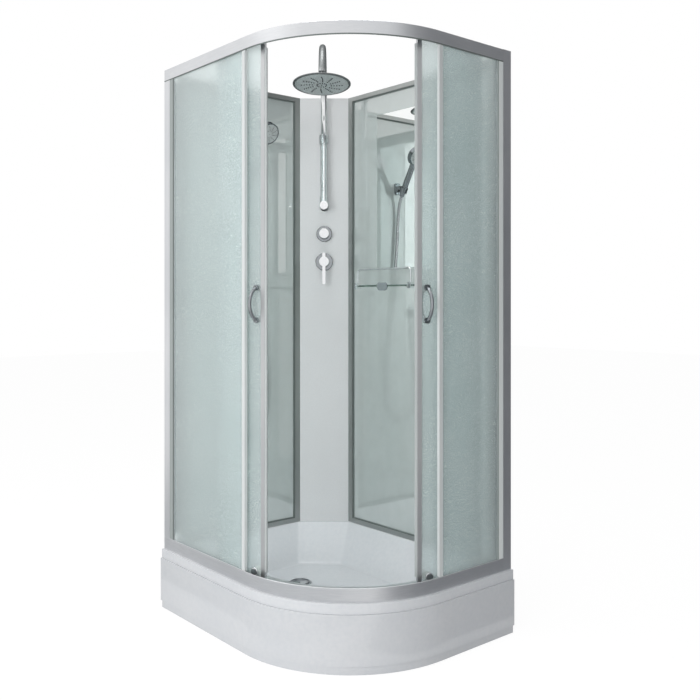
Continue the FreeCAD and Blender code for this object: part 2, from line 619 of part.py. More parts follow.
def column_point(out, height):
    """Return a point on the column's middle line, out from its face at a height."""
    angle = math.radians(column_angle())
    x = num(f"{LEFT} + (wall_depth + column_right) / 2")
    y = num(f"{BACK} - (wall_depth + column_left) / 2")
    return Vector(x + out * math.sin(angle), y - out * math.cos(angle), height)


def column_place(height, out=0, tilt=0):
    """Return the place of a piece whose own upright axis points out of the column."""
    angle = math.radians(column_angle())
    along = Vector(math.cos(angle), math.sin(angle), 0)
    outward = Vector(math.sin(angle), -math.cos(angle), 0)
    facing = Rotation(along, Vector(0, 0, 1), outward, "ZXY")
    return Placement(column_point(out, height), Rotation(along, tilt).multiply(facing))


def door_swing(side):
    """Return the upright axis a door turns about and its angle in the open place.

    An open door stops short of the wall profile, or where its grip would meet the fixed glass.
    """
    centre = Vector(num(ARC_X), num(ARC_Y), 0)
    reach = num(f"{RAIL_RADIUS} - door_inset")
    slip = math.radians(num("door_tail_angle"))
    near, far = num("pole_near"), num("pole_far")
    if side == "left":
        pole = centre + Vector(-near, far, 0)
        tail = centre + Vector(-reach * math.sin(slip), -reach * math.cos(slip), 0) - pole
        stop = max(num("door_stop_left"), num("fixed_left_edge - door_behind_left"))
        along = num(LEFT) + stop - pole.x
        return pole, math.degrees(-math.acos(along / tail.Length) - math.atan2(tail.y, tail.x))
    pole = centre + Vector(-far, near, 0)
    tail = centre + Vector(reach * math.cos(slip), reach * math.sin(slip), 0) - pole
    stop = max(num("door_stop_right"), num("fixed_right_edge - door_behind_right"))
    along = num(BACK) - stop - pole.y
    return pole, math.degrees(math.asin(along / tail.Length) - math.atan2(tail.y, tail.x))


def build_doors():
    """Build both curved sliding doors in their open places, with posts, seals, grips and rollers."""
    centre = Vector(num(ARC_X), num(ARC_Y), 0)
    glass_out = f"({RAIL_RADIUS} - door_inset)"
    glass_in = f"({glass_out} - glass_wall)"
    sides = {"left": 1, "right": -1}
    wheel_near = f"({RAIL_RADIUS} - wheel_face)"
    wheel_far = f"({wheel_near} - wheel_width)"
    low_axle = "(tray_height + track_top + wheel_gap + low_wheel)"
    high_axle = "(top_rail_bottom + top_rail_height - rail_wall - high_wheel_gap - high_wheel)"
    for side, sign in sides.items():
        pole, swing = door_swing(side)
        turn = Placement(Vector(), Rotation(Vector(0, 0, 1), swing), pole)

        def angle_of(phi, sign=sign):
            return f"({CORNER_MIDDLE} - ({sign}) * ({CORNER_MIDDLE} - ({phi})))"

        def placed(phi, turn=turn, angle_of=angle_of):
            own = Placement(centre, Rotation(Vector(0, 0, 1), num(angle_of(phi))))
            return turn.multiply(own)

        def radial(phi, height, turn=turn, angle_of=angle_of):
            bearing = math.radians(num(angle_of(phi)))
            inward = Vector(-math.sin(bearing), math.cos(bearing), 0)
            across = Vector(-math.cos(bearing), -math.sin(bearing), 0)
            facing = Rotation(across, Vector(0, 0, 1), inward, "ZXY")
            start = centre - inward * num(f"{glass_out} + bend_gap + cap_depth")
            return turn.multiply(Placement(start + Vector(0, 0, num(height)), facing))

        def on_arc(radius, phi, angle_of=angle_of):
            bearing = f"({angle_of(phi)} * 1deg)"
            return f"{radius} * sin({bearing})", f"-{radius} * cos({bearing})"

        tail, tip = "-door_tail_angle", "door_tip_angle"
        outline = [
            on_arc(glass_out, tail), (*on_arc(glass_out, tip), f"({sign}) * {glass_out}"),
            on_arc(glass_in, tip), (*on_arc(glass_in, tail), f"({-sign}) * {glass_in}"),
        ]
        glass = extruded(outline, "door_bottom", "door_top - door_bottom")
        drillings = (
            ("axle_tail_angle", (low_axle, high_axle), "axle_hole"),
            ("axle_lead_angle", (low_axle, high_axle), "axle_hole"),
            ("grip_angle", ("grip_height - grip_half", "grip_height + grip_half"), "grip_hole"),
        )
        for phi, heights, radius in drillings:
            way = Rotation(Vector(0, 1, 0), num(angle_of(phi)))
            holes = sketch_on(glass, "XZ_Plane", "0", way)
            for height in heights:
                ring(holes, "0", height, radius)
            pocket(glass, holes, RAIL_RADIUS, reverse=True)
        keep(glass, f"{side}_door_glass", turn.multiply(Placement(centre, Rotation())))

        leaf_out = f"{glass_out} + post_leaf"
        leaf_in = f"{glass_in} - post_leaf"
        x_tip, x_back = f"({sign}) * post_half", f"({-sign}) * post_half"
        x_seat = f"({sign}) * (post_half - post_leaf + post_play)"
        post = [
            (x_back, f"-({leaf_out})"), (x_tip, f"-({leaf_out})"), (x_tip, f"-({leaf_in})"),
            (x_back, f"-({leaf_in})"), (x_back, f"-({glass_in} - post_play)"),
            (x_seat, f"-({glass_in} - post_play)"), (x_seat, f"-({glass_out} + post_play)"),
            (x_back, f"-({glass_out} + post_play)"),
        ]
        rod = extruded(post, "door_bottom", "door_top - door_bottom")
        keep(rod, f"{side}_door_post", placed("post_angle"))
        middle = f"(({glass_out} + {glass_in}) / 2)"
        x_seal = f"({sign}) * (post_half + seal_width)"
        seal = [
            (x_tip, f"-({middle} + seal_depth / 2)"), (x_seal, f"-({middle} + seal_depth / 3)"),
            (x_seal, f"-({middle} - seal_depth / 3)"), (x_tip, f"-({middle} - seal_depth / 2)"),
        ]
        strip = extruded(seal, "seal_bottom", "seal_top - seal_bottom")
        keep(strip, f"{side}_magnet_seal", placed("post_angle"))

        grips = []
        for face, way in ((f"({glass_out} + bend_gap)", 1), (f"({glass_in} - bend_gap)", -1)):
            grip = new_body()
            sag = "(grip_reach - grip_foot)"
            bow = f"((grip_half ^ 2 + {sag} ^ 2) / (2 * {sag}))"
            rod = sketch_on(grip, "XY_Plane")
            ring(rod, "0", f"-({face} + ({way}) * grip_reach)", "grip_rod")
            axis = f"-({face} + ({way}) * (grip_reach - {bow}))"
            hinge_line(rod, axis, "grip_boss")
            doc.recompute()
            bar = grip.newObject("PartDesign::Revolution", "Bow")
            bar.Profile = rod
            bar.ReferenceAxis = (rod, ["Axis0"])
            bar.Midplane = True
            tie(bar, "Angle", f"2 * asin(grip_half / {bow})")
            boss = sketch_on(grip, "XZ_Plane", face)
            for height in ("-grip_half", "grip_half"):
                ring(boss, "0", height, "grip_boss")
            pad(grip, boss, "grip_boss_depth", reverse=way < 0)
            bolt = sketch_on(grip, "XZ_Plane", face)
            for height in ("-grip_half", "grip_half"):
                ring(bolt, "0", height, "grip_bolt")
            pad(grip, bolt, "glass_wall / 2", reverse=way > 0)
            lift = Placement(Vector(0, 0, num("grip_height")), Rotation())
            grip.Placement = placed("grip_angle").multiply(lift)
            grips.append(grip)
        group(f"{side}_handles", grips)

        glass_near = "(cap_depth + bend_gap)"
        spacer = f"({glass_near} + glass_wall + bend_gap)"
        hub = f"({glass_out} + {glass_near} - {wheel_near})"
        hub_far = f"({glass_out} + {glass_near} - {wheel_far})"
        axles = []
        rows = (("top", high_axle, "high_cap", "high_wheel"), ("bottom", low_axle, "low_cap", "low_wheel"))
        for level, height, cap, wheel in rows:
            for end, phi in (("front", "axle_lead_angle"), ("rear", "axle_tail_angle")):
                axle = turned([
                    ("0", "0"), (f"{cap} - rail_edge", "0"), (cap, "rail_edge"), (cap, "cap_depth"),
                    ("axle_radius", "cap_depth"), ("axle_radius", spacer), ("axle_spacer", spacer),
                    ("axle_spacer", f"{hub} - axle_gap"), ("axle_radius", f"{hub} - axle_gap"),
                    ("axle_radius", f"{hub_far} + axle_gap"), ("axle_head", f"{hub_far} + axle_gap"),
                    ("axle_head", f"{hub_far} + axle_gap + axle_head_depth"),
                    ("0", f"{hub_far} + axle_gap + axle_head_depth"),
                ])
                axle.Placement = radial(phi, height)
                axles.append(axle)
                rim = turned([
                    ("wheel_bore", hub), (f"{wheel} - rail_edge", hub), (wheel, f"{hub} + rail_edge"),
                    (wheel, f"{hub} + wheel_rim"), (f"{wheel} - wheel_groove", f"({hub} + {hub_far}) / 2"),
                    (wheel, f"{hub_far} - wheel_rim"), (wheel, f"{hub_far} - rail_edge"),
                    (f"{wheel} - rail_edge", hub_far), ("wheel_bore", hub_far),
                ])
                keep(rim, f"{side}_{level}_{end}_wheel", radial(phi, height))
        group(f"{side}_roller_axles", axles)


def build_valves():
    """Build the mixer with its lever, the diverter with its knob, and the pipes behind the column."""
    back = "-(column_sheet + body_gap)"
    rear = f"{back} - valve_depth"
    rosettes = (("mixer_height", "mixer_rosette_radius", "mixer_neck + body_gap"),
                ("diverter_height", "diverter_rosette_radius", "spindle_radius + body_gap"))
    plates = []
    for height, radius, bore in rosettes:
        plate = turned([
            (bore, "0"), (radius, "0"), (radius, "rosette_depth - rosette_bevel"),
            (f"{radius} - rosette_bevel", "rosette_depth"), (bore, "rosette_depth"),
        ])
        plate.Placement = column_place(num(height))
        plates.append(plate)
    group("valve_rosettes", plates)

    mixer = turned([
        ("0", rear), ("mixer_valve", rear), ("mixer_valve", back),
        ("mixer_neck", back), ("mixer_neck", "rosette_depth"), ("0", "rosette_depth"),
    ])
    side = "(inlet_spread / 2)"
    manifold = sketch_on(mixer, "XY_Plane", rear)
    draw(manifold, [
        (f"-{side}", "-manifold_half", "manifold_half"), (side, "-manifold_half"),
        (side, "manifold_half", "manifold_half"), (f"-{side}", "manifold_half"),
    ])
    pad(mixer, manifold, "manifold_depth")
    stages = (
        (pad, "inlet_radius - relief_depth", rear, "inlet_length"),
        (pad, "inlet_radius", f"{rear} - relief_length", "inlet_length - relief_length"),
        (pocket, "inlet_bore", f"{rear} - inlet_length", "inlet_length"),
    )
    for feature, size, lift, length in stages:
        stubs = sketch_on(mixer, "XY_Plane", lift)
        for x in (f"-{side}", side):
            ring(stubs, x, "0", size)
        feature(mixer, stubs, length, reverse=True)
    keep(mixer, "mixer_body", column_place(num("mixer_height")))

    base = "(rosette_depth + turn_gap)"
    ring_top = f"({base} + cap_ring)"
    waist = f"sqrt(ball_radius ^ 2 - (ball_reach - {ring_top}) ^ 2)"
    cap = turned([
        ("0", base), ("cap_radius", base), ("cap_radius", ring_top), (waist, ring_top),
        ("ball_radius", "ball_reach", "ball_radius"), ("0", "ball_reach + ball_radius", "ball_radius"),
    ])
    keep(cap, "mixer_cap", column_place(num("mixer_height")))

    cavity = "(ball_radius + cup_play)"
    mouth = f"sqrt({cavity} ^ 2 - (ball_reach - cup_start) ^ 2)"
    lever = turned([
        (mouth, "cup_start", f"-{cavity}"), ("cap_radius", "cup_start"),
        ("cap_radius", "cup_end - knob_bevel"),
        ("cap_radius - knob_bevel", "cup_end"), ("0", "cup_end"), ("0", f"ball_reach + {cavity}"),
        (cavity, "ball_reach", f"-{cavity}"),
    ])
    bar = sketch_on(lever, "XY_Plane", "cup_end - knob_bevel / 2")
    draw(bar, box_corners("-lever_width / 2", "lever_width / 2", "-lever_down", "lever_up"))
    pad(lever, bar, "lever_depth + knob_bevel / 2")
    keep(lever, "mixer_lever", column_place(num("mixer_height")))

    spindle_end = "(knob_seat - turn_gap)"
    keep(turned([
        ("0", rear), ("diverter_valve", rear), ("diverter_valve", back),
        ("spindle_radius", back), ("spindle_radius", spindle_end), ("0", spindle_end),
    ]), "diverter_body", column_place(num("diverter_height")))
    bore = "spindle_radius + spindle_play"
    keep(turned([
        (bore, base), ("knob_radius - knob_bevel", base), ("knob_radius", f"{base} + knob_bevel"),
        ("knob_radius", "knob_end - knob_bevel"), ("knob_radius - knob_bevel", "knob_end"),
        ("0", "knob_end"),
        ("0", "knob_seat"), (bore, "knob_seat"),
    ]), "diverter_knob", column_place(num("diverter_height")))

    links = []
    levels = (("mixer_height + mixer_valve", "diverter_height - diverter_valve"),
              ("diverter_height + diverter_valve", "elbow_height"))
    for low, high in levels:
        pipe = new_body()
        bottom = sketch_on(pipe, "XY_Plane", f"{low} + pipe_gap")
        ring(bottom, "0", "pipe_back", "pipe_radius")
        pad(pipe, bottom, f"{high} - ({low}) - 2 * pipe_gap")
        links.append(pipe)
    feed = sketch_on(links[1], "XZ_Plane", "body_gap")
    ring(feed, "0", "elbow_height - pipe_gap", "pipe_radius")
    pad(links[1], feed, "pipe_back + body_gap", reverse=True)
    for pipe in links:
        pipe.Placement = Placement(column_point(0, 0), Rotation(Vector(0, 0, 1), column_angle()))
    group("supply_pipes", links)


def build_riser():
    """Build the elbow, the telescopic riser, the bent arm and the tilting rain head."""
    elbow = turned([
        ("0", "body_gap"), ("elbow_radius", "body_gap"), ("elbow_radius", "elbow_length - collar_bevel"),
        ("elbow_radius - collar_bevel", "elbow_length"), ("0", "elbow_length"),
    ])
    neck = sketch_on(elbow, "XZ_Plane", "0")
    ring(neck, "0", "riser_reach", "elbow_neck")
    pad(elbow, neck, "elbow_neck_top", reverse=True)
    socket = sketch_on(elbow, "XZ_Plane", "-elbow_neck_top")
    ring(socket, "0", "riser_reach", "tube_radius + socket_play")
    pocket(elbow, socket, "elbow_socket", reverse=True)
    keep(elbow, "riser_elbow", column_place(num("elbow_height")))

    axis = Placement(column_point(num("riser_reach"), 0), Rotation(Vector(0, 0, 1), column_angle()))
    seat = "(elbow_height + elbow_neck_top - elbow_socket)"
    keep(turned([
        ("tube_bore", seat), ("tube_radius", seat), ("tube_radius", "tube_top"), ("tube_bore", "tube_top"),
    ]), "riser_tube", axis)
    lip = "tube_top + turn_gap"
    wide, tight = "tube_radius + collar_play", "arm_radius + collar_play"
    keep(turned([
        (wide, "collar_bottom"), ("collar_radius - collar_bevel", "collar_bottom"),
        ("collar_radius", "collar_bottom + collar_bevel"), ("collar_radius", "collar_top - collar_bevel"),
        ("collar_radius - collar_bevel", "collar_top"), (tight, "collar_top"), (tight, lip), (wide, lip),
    ]), "riser_collar", axis)
    keep(turned([
        ("0", "bush_bottom"), ("arm_radius - rail_edge", "bush_bottom"),
        ("arm_radius", "bush_bottom + rail_edge"), ("arm_radius", "bush_bottom + bush_height"),
        ("0", "bush_bottom + bush_height"),
    ]), "slide_bush", axis)

    tip = "(arm_tip_angle * 1deg)"
    path = [
        ("0", "arm_bottom"), ("0", "arm_bend_height"),
        ("-arm_bend", "arm_bend_height + arm_bend", "arm_bend"),
        (f"-arm_bend * (1 + cos({tip}))", f"arm_bend_height + arm_bend * sin({tip})", "arm_bend"),
    ]
    arm = swept(new_body(), path, "YZ_Plane", None, "XY_Plane", "arm_bottom",
                [("0", "0", "arm_radius"), ("0", "0", "arm_bore")])
    end_y = f"-arm_bend * (1 + cos({tip}))"
    end_z = f"arm_bend_height + arm_bend * sin({tip})"
    plug = doc.addObject("PartDesign::Body", "Piece")
    rise = "arm_ball_drop"
    foot = "sqrt(arm_ball ^ 2 - arm_neck ^ 2)"
    spin(plug, [
        ("0", "-arm_ball"), ("arm_ball", "0", "arm_ball"), ("arm_neck", foot, "arm_ball"),
        ("arm_neck", f"{rise} - arm_stop"), ("arm_radius", rise), ("arm_radius", f"{rise} + arm_stop"),
        ("0", f"{rise} + arm_stop"),
    ])
    lean = Rotation(Vector(1, 0, 0), -num("arm_tip_angle"))
    drop = lean.multVec(Vector(0, 0, num("arm_ball_drop")))
    ball_spot = Vector(0, num(end_y), num(end_z)) - drop
    plug.Placement = Placement(ball_spot, lean)
    doc.recompute()
    cane = doc.addObject("Part::MultiFuse", "Cane")
    cane.Shapes = [arm, plug]
    cane.Refine = True
    keep(cane, "cane_arm", axis)

    ball = axis.multVec(ball_spot)
    head_place = Placement(ball, Rotation(Vector(0, 0, 1), column_angle()).multiply(
        Rotation(Vector(1, 0, 0), -num("head_tilt_angle"))))
    hollow = "(arm_ball + nut_play)"
    mouth = f"sqrt({hollow} ^ 2 - nut_up ^ 2)"
    keep(turned([
        (mouth, "nut_up"), ("0", f"-{hollow}", f"-{hollow}"), ("0", "-nut_down"),
        ("nut_radius", "-nut_down"),
        ("nut_radius", "nut_up - collar_bevel"), ("nut_radius - collar_bevel", "nut_up"),
    ]), "ball_nut", head_place)
    top = "(-nut_down)"
    rim_top = "(head_edge - head_drop)"
    face = "(-head_drop + face_depth)"
    keep(turned([
        ("0", top), ("nut_radius", top), ("nut_radius + head_crown", f"{rim_top} + head_edge / 2"),
        ("head_radius - head_edge", rim_top), ("head_radius", f"{rim_top} - head_edge / 3"),
        ("head_radius", f"-head_drop + head_edge / 3"), ("head_radius - face_depth", "-head_drop"),
        ("face_radius + face_play", "-head_drop"), ("face_radius + face_play", face), ("0", face),
    ]), "rain_head", head_place)
    keep(turned([
        ("0", "-head_drop - face_play"), ("face_radius - face_depth / 2", "-head_drop - face_play"),
        ("face_radius", "-head_drop + face_depth / 2"), ("face_radius", face), ("0", face),
    ]), "spray_face", head_place)


def wall_place(x, y, z):
    """Return the place of a piece whose upright axis points out of the left wall."""
    return Placement(Vector(x, y, z), Rotation(Vector(0, 1, 0), Vector(0, 0, 1), Vector(1, 0, 0), "ZXY"))


def hand_place():
    """Return the place of the hand shower, upright along its leaning handle."""
    lean = Rotation(Vector(0, 1, 0), num("hand_lean_angle"))
    return Placement(Vector(num("hose_end_x"), num("hand_y"), num("hose_end_z")), lean)


def hose_route():
    """Return the corners of the hose between the hand shower and the wall outlet."""
    hose_x, hand_y = num("hose_x"), num("hand_y")
    start = hand_place().Base
    fall = (start.x - hose_x) / math.tan(math.radians(num("hand_lean_angle")))
    points = [start, Vector(hose_x, hand_y, start.z - fall)]
    for share, sway in HOSE_FALL:
        drop = points[1].z - num("loop_z")
        y = hand_y + sway * (num("loop_y + loop_radius") - hand_y)
        points.append(Vector(hose_x, y, points[1].z - share * drop))
    for turn in LOOP_TURNS:
        bearing = math.radians(turn)
        y = num("loop_y") + num("loop_radius") * math.cos(bearing)
        z = num("loop_z") + num("loop_radius") * math.sin(bearing)
        points.append(Vector(hose_x, y, z))
    top = num("outlet_z - outlet_radius - outlet_flange / 2")
    outlet_y = num("outlet_y")
    rest = top - num("loop_z")
    sway = outlet_y - RISE_SWAY * (outlet_y - points[-1].y)
    points.append(Vector(hose_x, sway, num("loop_z") + RISE_LOW * rest))
    points.append(Vector(hose_x, outlet_y, top - RISE_HIGH * rest))
    points.append(Vector(hose_x, outlet_y, top))
    return points


def rounded(points, share):
    """Return a wire through the points with an arc at each corner, and the radii of the arcs."""
    edges, radii = [], []
    last = points[0]
    for before, corner, after in zip(points, points[1:], points[2:]):
        back, ahead = before - corner, after - corner
        reach = share * min(back.Length, ahead.Length)
        back.normalize()
        ahead.normalize()
        half = math.acos(max(-1.0, min(1.0, back.dot(ahead)))) / 2
        radius = reach * math.tan(half)
        enter, leave = corner + back * reach, corner + ahead * reach
        to_middle = (back + ahead).normalize() * (radius / math.sin(half) - radius)
        edges.append(Part.LineSegment(last, enter).toShape())
        edges.append(Part.Arc(enter, corner + to_middle, leave).toShape())
        radii.append(round(radius))
        last = leave
    edges.append(Part.LineSegment(last, points[-1]).toShape())
    return Part.Wire(edges), radii


def build_hand_shower():
    """Build the wall holder, the hand shower, its hose and the wall outlet."""
    surface = num(f"{LEFT} + wall_glass_back + glass_wall")
    lean = num("hand_lean_angle")
    grip = hand_place()
    seat = grip.multVec(Vector(0, 0, num("clip_seat")))
    holder = new_body()
    clip = sketch_on(holder, "XY_Plane", "-clip_half")
    ring(clip, "0", "0", "clip_outer")
    pad(holder, clip, "2 * clip_half")
    arm = sketch_on(holder, "XY_Plane", "-clip_half / 2")
    draw(arm, box_corners("-clip_outer - holder_reach / 3", "0", "-holder_arm", "holder_arm"))
    pad(holder, arm, "clip_half")
    bore = sketch_on(holder, "XY_Plane", "clip_half")
    ring(bore, "0", "0", "clip_bore")
    pocket(holder, bore, "2 * clip_half")
    gap = sketch_on(holder, "XY_Plane", "clip_half")
    draw(gap, box_corners("0", "2 * clip_outer", "-clip_slot", "clip_slot"))
    pocket(holder, gap, "2 * clip_half")
    holder.Placement = Placement(seat, Rotation(Vector(0, 1, 0), lean))
    plate = new_body()
    half, tall, bend = "holder_plate_half", "holder_plate", "holder_corner"
    back = sketch_on(plate, "XY_Plane", "0")
    draw(back, [
        (f"-{half}", f"{bend} - {tall}"), (f"{bend} - {half}", f"-{tall}", bend),
        (f"{half} - {bend}", f"-{tall}"), (half, f"{bend} - {tall}", bend),
        (half, f"{tall} - {bend}"), (f"{half} - {bend}", tall, bend),
        (f"{bend} - {half}", tall), (f"-{half}", f"{tall} - {bend}", bend),
    ])
    pad(plate, back, "holder_plate_depth")
    stub = sketch_on(plate, "XY_Plane", "0")
    draw(stub, box_corners("-holder_arm", "holder_arm", "-holder_arm", "holder_arm"))
    pad(plate, stub, "holder_reach / 2")
    plate.Placement = wall_place(surface, num("hand_y"), num("holder_height"))
    doc.recompute()
    bracket = doc.addObject("Part::MultiFuse", "Bracket")
    bracket.Shapes = [holder, plate]
    bracket.Refine = True
    keep(bracket, "handset_bracket")

    handle = turned([
        ("0", "hose_seat"), ("hand_nut", "hose_seat"), ("hand_nut", "hand_nut_length"),
        ("hand_slim", "hand_nut_length + hand_nut_cone"), ("hand_wide - hand_play", "clip_seat + clip_half"),
        ("hand_wide", "hand_length"), ("hand_slim", "hand_head_up"), ("0", "hand_head_up"),
    ])
    disc = sketch_on(handle, "YZ_Plane", "-hand_head_back")
    ring(disc, "0", "hand_head_up", "hand_head")
    pad(handle, disc, "hand_head_depth")
    keep(handle, "handset", grip)

    points = hose_route()
    wire, radii = rounded(points, CORNER_SHARE)
    print("hose bend radii", min(radii), radii)
    print("hose length", round(wire.Length))
    start = points[0]
    heading = (points[1] - points[0]).normalize()
    shapes = []
    for size in ("hose_radius", "hose_bore"):
        circle = Part.Wire(Part.Circle(start, heading, num(size)).toShape())
        shell = Part.BRepOffsetAPI.MakePipeShell(wire)
        shell.add(circle)
        shell.build()
        shell.makeSolid()
        shapes.append(shell.shape())
    hose = doc.addObject("Part::Feature", "Hose")
    hose.Shape = shapes[0].cut(shapes[1])
    ideal = math.pi * (num("hose_radius") ** 2 - num("hose_bore") ** 2) * wire.Length
    print("hose volume against its route", round(hose.Shape.Volume / ideal, 4))
    keep(hose, "shower_hose")

    drop = num("hose_x") - surface
    outlet = turned([
        ("0", "0"), ("outlet_flange", "0"), ("outlet_flange", "outlet_flange_depth - rail_edge"),
        ("outlet_flange - rail_edge", "outlet_flange_depth"), ("outlet_radius", "outlet_flange_depth"),
        ("outlet_radius", f"{drop} + outlet_radius"), ("0", f"{drop} + outlet_radius"),
    ])
    spigot = sketch_on(outlet, "XZ_Plane", "0")
    ring(spigot, "0", f"{drop}", "outlet_spigot")
    pad(outlet, spigot, "outlet_radius + outlet_flange / 2 - hose_seat")
    keep(outlet, "hose_outlet", wall_place(surface, num("outlet_y"), num("outlet_z")))


def build_shelf():
    """Build the glass shelf with its rod gallery, clamps and middle clip."""
    wall = f"({BACK} - wall_glass_back - glass_wall)"
    front = f"({BACK} - wall_depth - shelf_depth)"
    corners = [
        ("shelf_left", f"{wall} - shelf_gap"), ("shelf_left", f"{front} + shelf_corner"),
        ("shelf_left + shelf_corner", front, "shelf_corner"), ("shelf_right - shelf_corner", front),
        ("shelf_right", f"{front} + shelf_corner", "shelf_corner"), ("shelf_right", f"{wall} - shelf_gap"),
    ]
    keep(extruded(corners, "shelf_height", "shelf_wall"), "shelf_plate")

    gallery = new_body()
    rail_y = f"({front} + gallery_inset)"
    level = "(shelf_height + shelf_wall + gallery_rise)"
    upper = "(shelf_height + shelf_wall + shelf_gap)"
    foot = f"({upper} + clamp_wall / 2)"
    path = [
        ("gallery_left", foot), ("gallery_left", f"{level} - gallery_bend"),
        ("gallery_left + gallery_bend", level, "-gallery_bend"), ("gallery_right - gallery_bend", level),
        ("gallery_right", f"{level} - gallery_bend", "-gallery_bend"), ("gallery_right", foot),
    ]
    spine = sketch_on(gallery, "XZ_Plane", f"-{rail_y}")
    draw(spine, path, closed=False)
    outline = sketch_on(gallery, "XY_Plane", foot)
    ring(outline, "gallery_left", rail_y, "gallery_rod")
    doc.recompute()
    rod = gallery.newObject("PartDesign::AdditivePipe", "Rod")
    rod.Profile = outline
    rod.Spine = spine
    posts = ("gallery_left", "gallery_right")
    bottom = "(shelf_height - shelf_gap - clamp_wall)"
    for x in posts:
        clamp = sketch_on(gallery, "YZ_Plane", f"{x} - clamp_half")
        fore, rear = f"({front} - clamp_wall)", f"({front} - clamp_wall + clamp_depth)"
        draw(clamp, [
            (fore, bottom), (rear, bottom), (rear, "shelf_height - shelf_gap"),
            (f"{front} - shelf_gap", "shelf_height - shelf_gap"), (f"{front} - shelf_gap", upper),
            (rear, upper), (rear, f"{upper} + clamp_wall"), (fore, f"{upper} + clamp_wall"),
        ])
        pad(gallery, clamp, "2 * clamp_half")
    keep(gallery, "shelf_gallery")

    clip = new_body()
    middle = "((gallery_left + gallery_right) / 2)"
    plate = sketch_on(clip, "XZ_Plane", f"-{front} + shelf_gap")
    flat = "(clip_wide - clip_high)"
    draw(plate, [
        (f"{middle} - {flat}", "shelf_height - clip_high", "clip_high"),
        (f"{middle} + {flat}", "shelf_height - clip_high"),
        (f"{middle} + {flat}", "shelf_height + clip_high", "clip_high"),
        (f"{middle} - {flat}", "shelf_height + clip_high"),
    ])
    pad(clip, plate, "clamp_wall / 2")
    keep(clip, "shelf_clip")


build_tray()
build_rails()
build_walls()
build_doors()
build_valves()
build_riser()
build_hand_shower()
build_shelf()
doc.recompute()

for item in doc.Objects:
    if "Invalid" in item.State or "Error" in item.State:
        raise RuntimeError(f"{item.Name} {item.Label} {item.State}")
os.makedirs("parts", exist_ok=True)
for piece in parts:
    shape = piece.Shape
    if shape.isNull() or not shape.isValid():
        raise RuntimeError(f"{piece.Label} has no valid shape")
    print(piece.Label, len(shape.Solids), round(shape.Volume / 1000, 1))
    shape.exportStep(f"parts/{piece.Label}.step")
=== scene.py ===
"""Finishes, hose, seals, spray jets, light and camera of the quadrant shower cabin."""

import logging
import math
from dataclasses import dataclass
from enum import Enum
from typing import Any, ClassVar

import bpy
from mathutils import Matrix, Vector


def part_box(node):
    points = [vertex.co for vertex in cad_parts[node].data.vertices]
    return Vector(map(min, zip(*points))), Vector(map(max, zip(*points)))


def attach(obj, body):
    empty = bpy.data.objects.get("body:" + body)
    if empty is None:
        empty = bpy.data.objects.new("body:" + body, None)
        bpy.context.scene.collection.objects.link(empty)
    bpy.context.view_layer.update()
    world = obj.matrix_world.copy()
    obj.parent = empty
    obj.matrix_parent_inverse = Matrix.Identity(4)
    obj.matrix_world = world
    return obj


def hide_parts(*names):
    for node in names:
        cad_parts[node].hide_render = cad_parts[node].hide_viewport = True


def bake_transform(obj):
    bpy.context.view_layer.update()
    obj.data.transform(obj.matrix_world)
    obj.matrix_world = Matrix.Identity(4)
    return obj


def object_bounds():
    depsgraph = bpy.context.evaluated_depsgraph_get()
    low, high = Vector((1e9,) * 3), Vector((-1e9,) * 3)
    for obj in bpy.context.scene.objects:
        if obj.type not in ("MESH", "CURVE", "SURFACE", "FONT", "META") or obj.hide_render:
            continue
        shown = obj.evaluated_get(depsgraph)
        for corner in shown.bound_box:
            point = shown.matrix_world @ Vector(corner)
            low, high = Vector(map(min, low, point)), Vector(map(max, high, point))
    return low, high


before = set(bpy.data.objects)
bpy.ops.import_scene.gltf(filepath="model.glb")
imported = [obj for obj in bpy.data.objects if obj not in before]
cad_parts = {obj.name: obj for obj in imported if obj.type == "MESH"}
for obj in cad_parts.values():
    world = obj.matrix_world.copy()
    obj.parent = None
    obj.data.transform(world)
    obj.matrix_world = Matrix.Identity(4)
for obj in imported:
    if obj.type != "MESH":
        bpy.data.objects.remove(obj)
CAD_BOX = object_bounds()
LOG = logging.getLogger("shower_cabin")
MM = 0.001
WHITE = (1.0, 1.0, 1.0, 1.0)
# A face looks one way when its normal has at least this share of that direction.
FACING = 0.9
# Socket numbers of a colour mix node: its share, its two colours and its result.
MIX_SHARE, MIX_FIRST, MIX_SECOND, MIX_RESULT = 0, 6, 7, 2
# Foot of the hand shower's handle, where the hose starts, and the handle's lean in degrees.
HANDLE_FOOT = (-0.457, -0.016, 1.605)
HANDLE_LEAN = 28.5


def linear(code: str) -> tuple[float, float, float, float]:
    """Turn an sRGB hex colour into linear values.

    Args:
        code: six hex digits.

    Returns:
        Red, green, blue and alpha.
    """
    parts = [int(code[i:i + 2], 16) / 255 for i in (0, 2, 4)]
    # The sRGB curve is straight near black and a power above that.
    red, green, blue = (p / 12.92 if p <= 0.04045 else ((p + 0.055) / 1.055) ** 2.4 for p in parts)
    return red, green, blue, 1.0


def connect(tree: bpy.types.NodeTree, node: bpy.types.Node, links: dict[Any, Any]) -> None:
    """Set a node's inputs to values, or link them to outputs.

    Args:
        tree: the node's tree.
        node: the node.
        links: input socket name or number to a value, or to an output socket.
    """
    for name, value in links.items():
        if isinstance(value, bpy.types.NodeSocket):
            tree.links.new(value, node.inputs[name])
        else:
            node.inputs[name].default_value = value


def add_node(tree: bpy.types.NodeTree, kind: str, links: dict[Any, Any] | None = None,
             **settings: Any) -> bpy.types.Node:
    """Add one node with its settings, socket values and links.

    Args:
        tree: node tree to add to.
        kind: node type.
        links: input socket name or number to a value, or to an output socket.
        settings: properties of the node itself.

    Returns:
        The new node.
    """
    node = tree.nodes.new(kind)
    for name, value in settings.items():
        setattr(node, name, value)
    connect(tree, node, links or {})
    return node


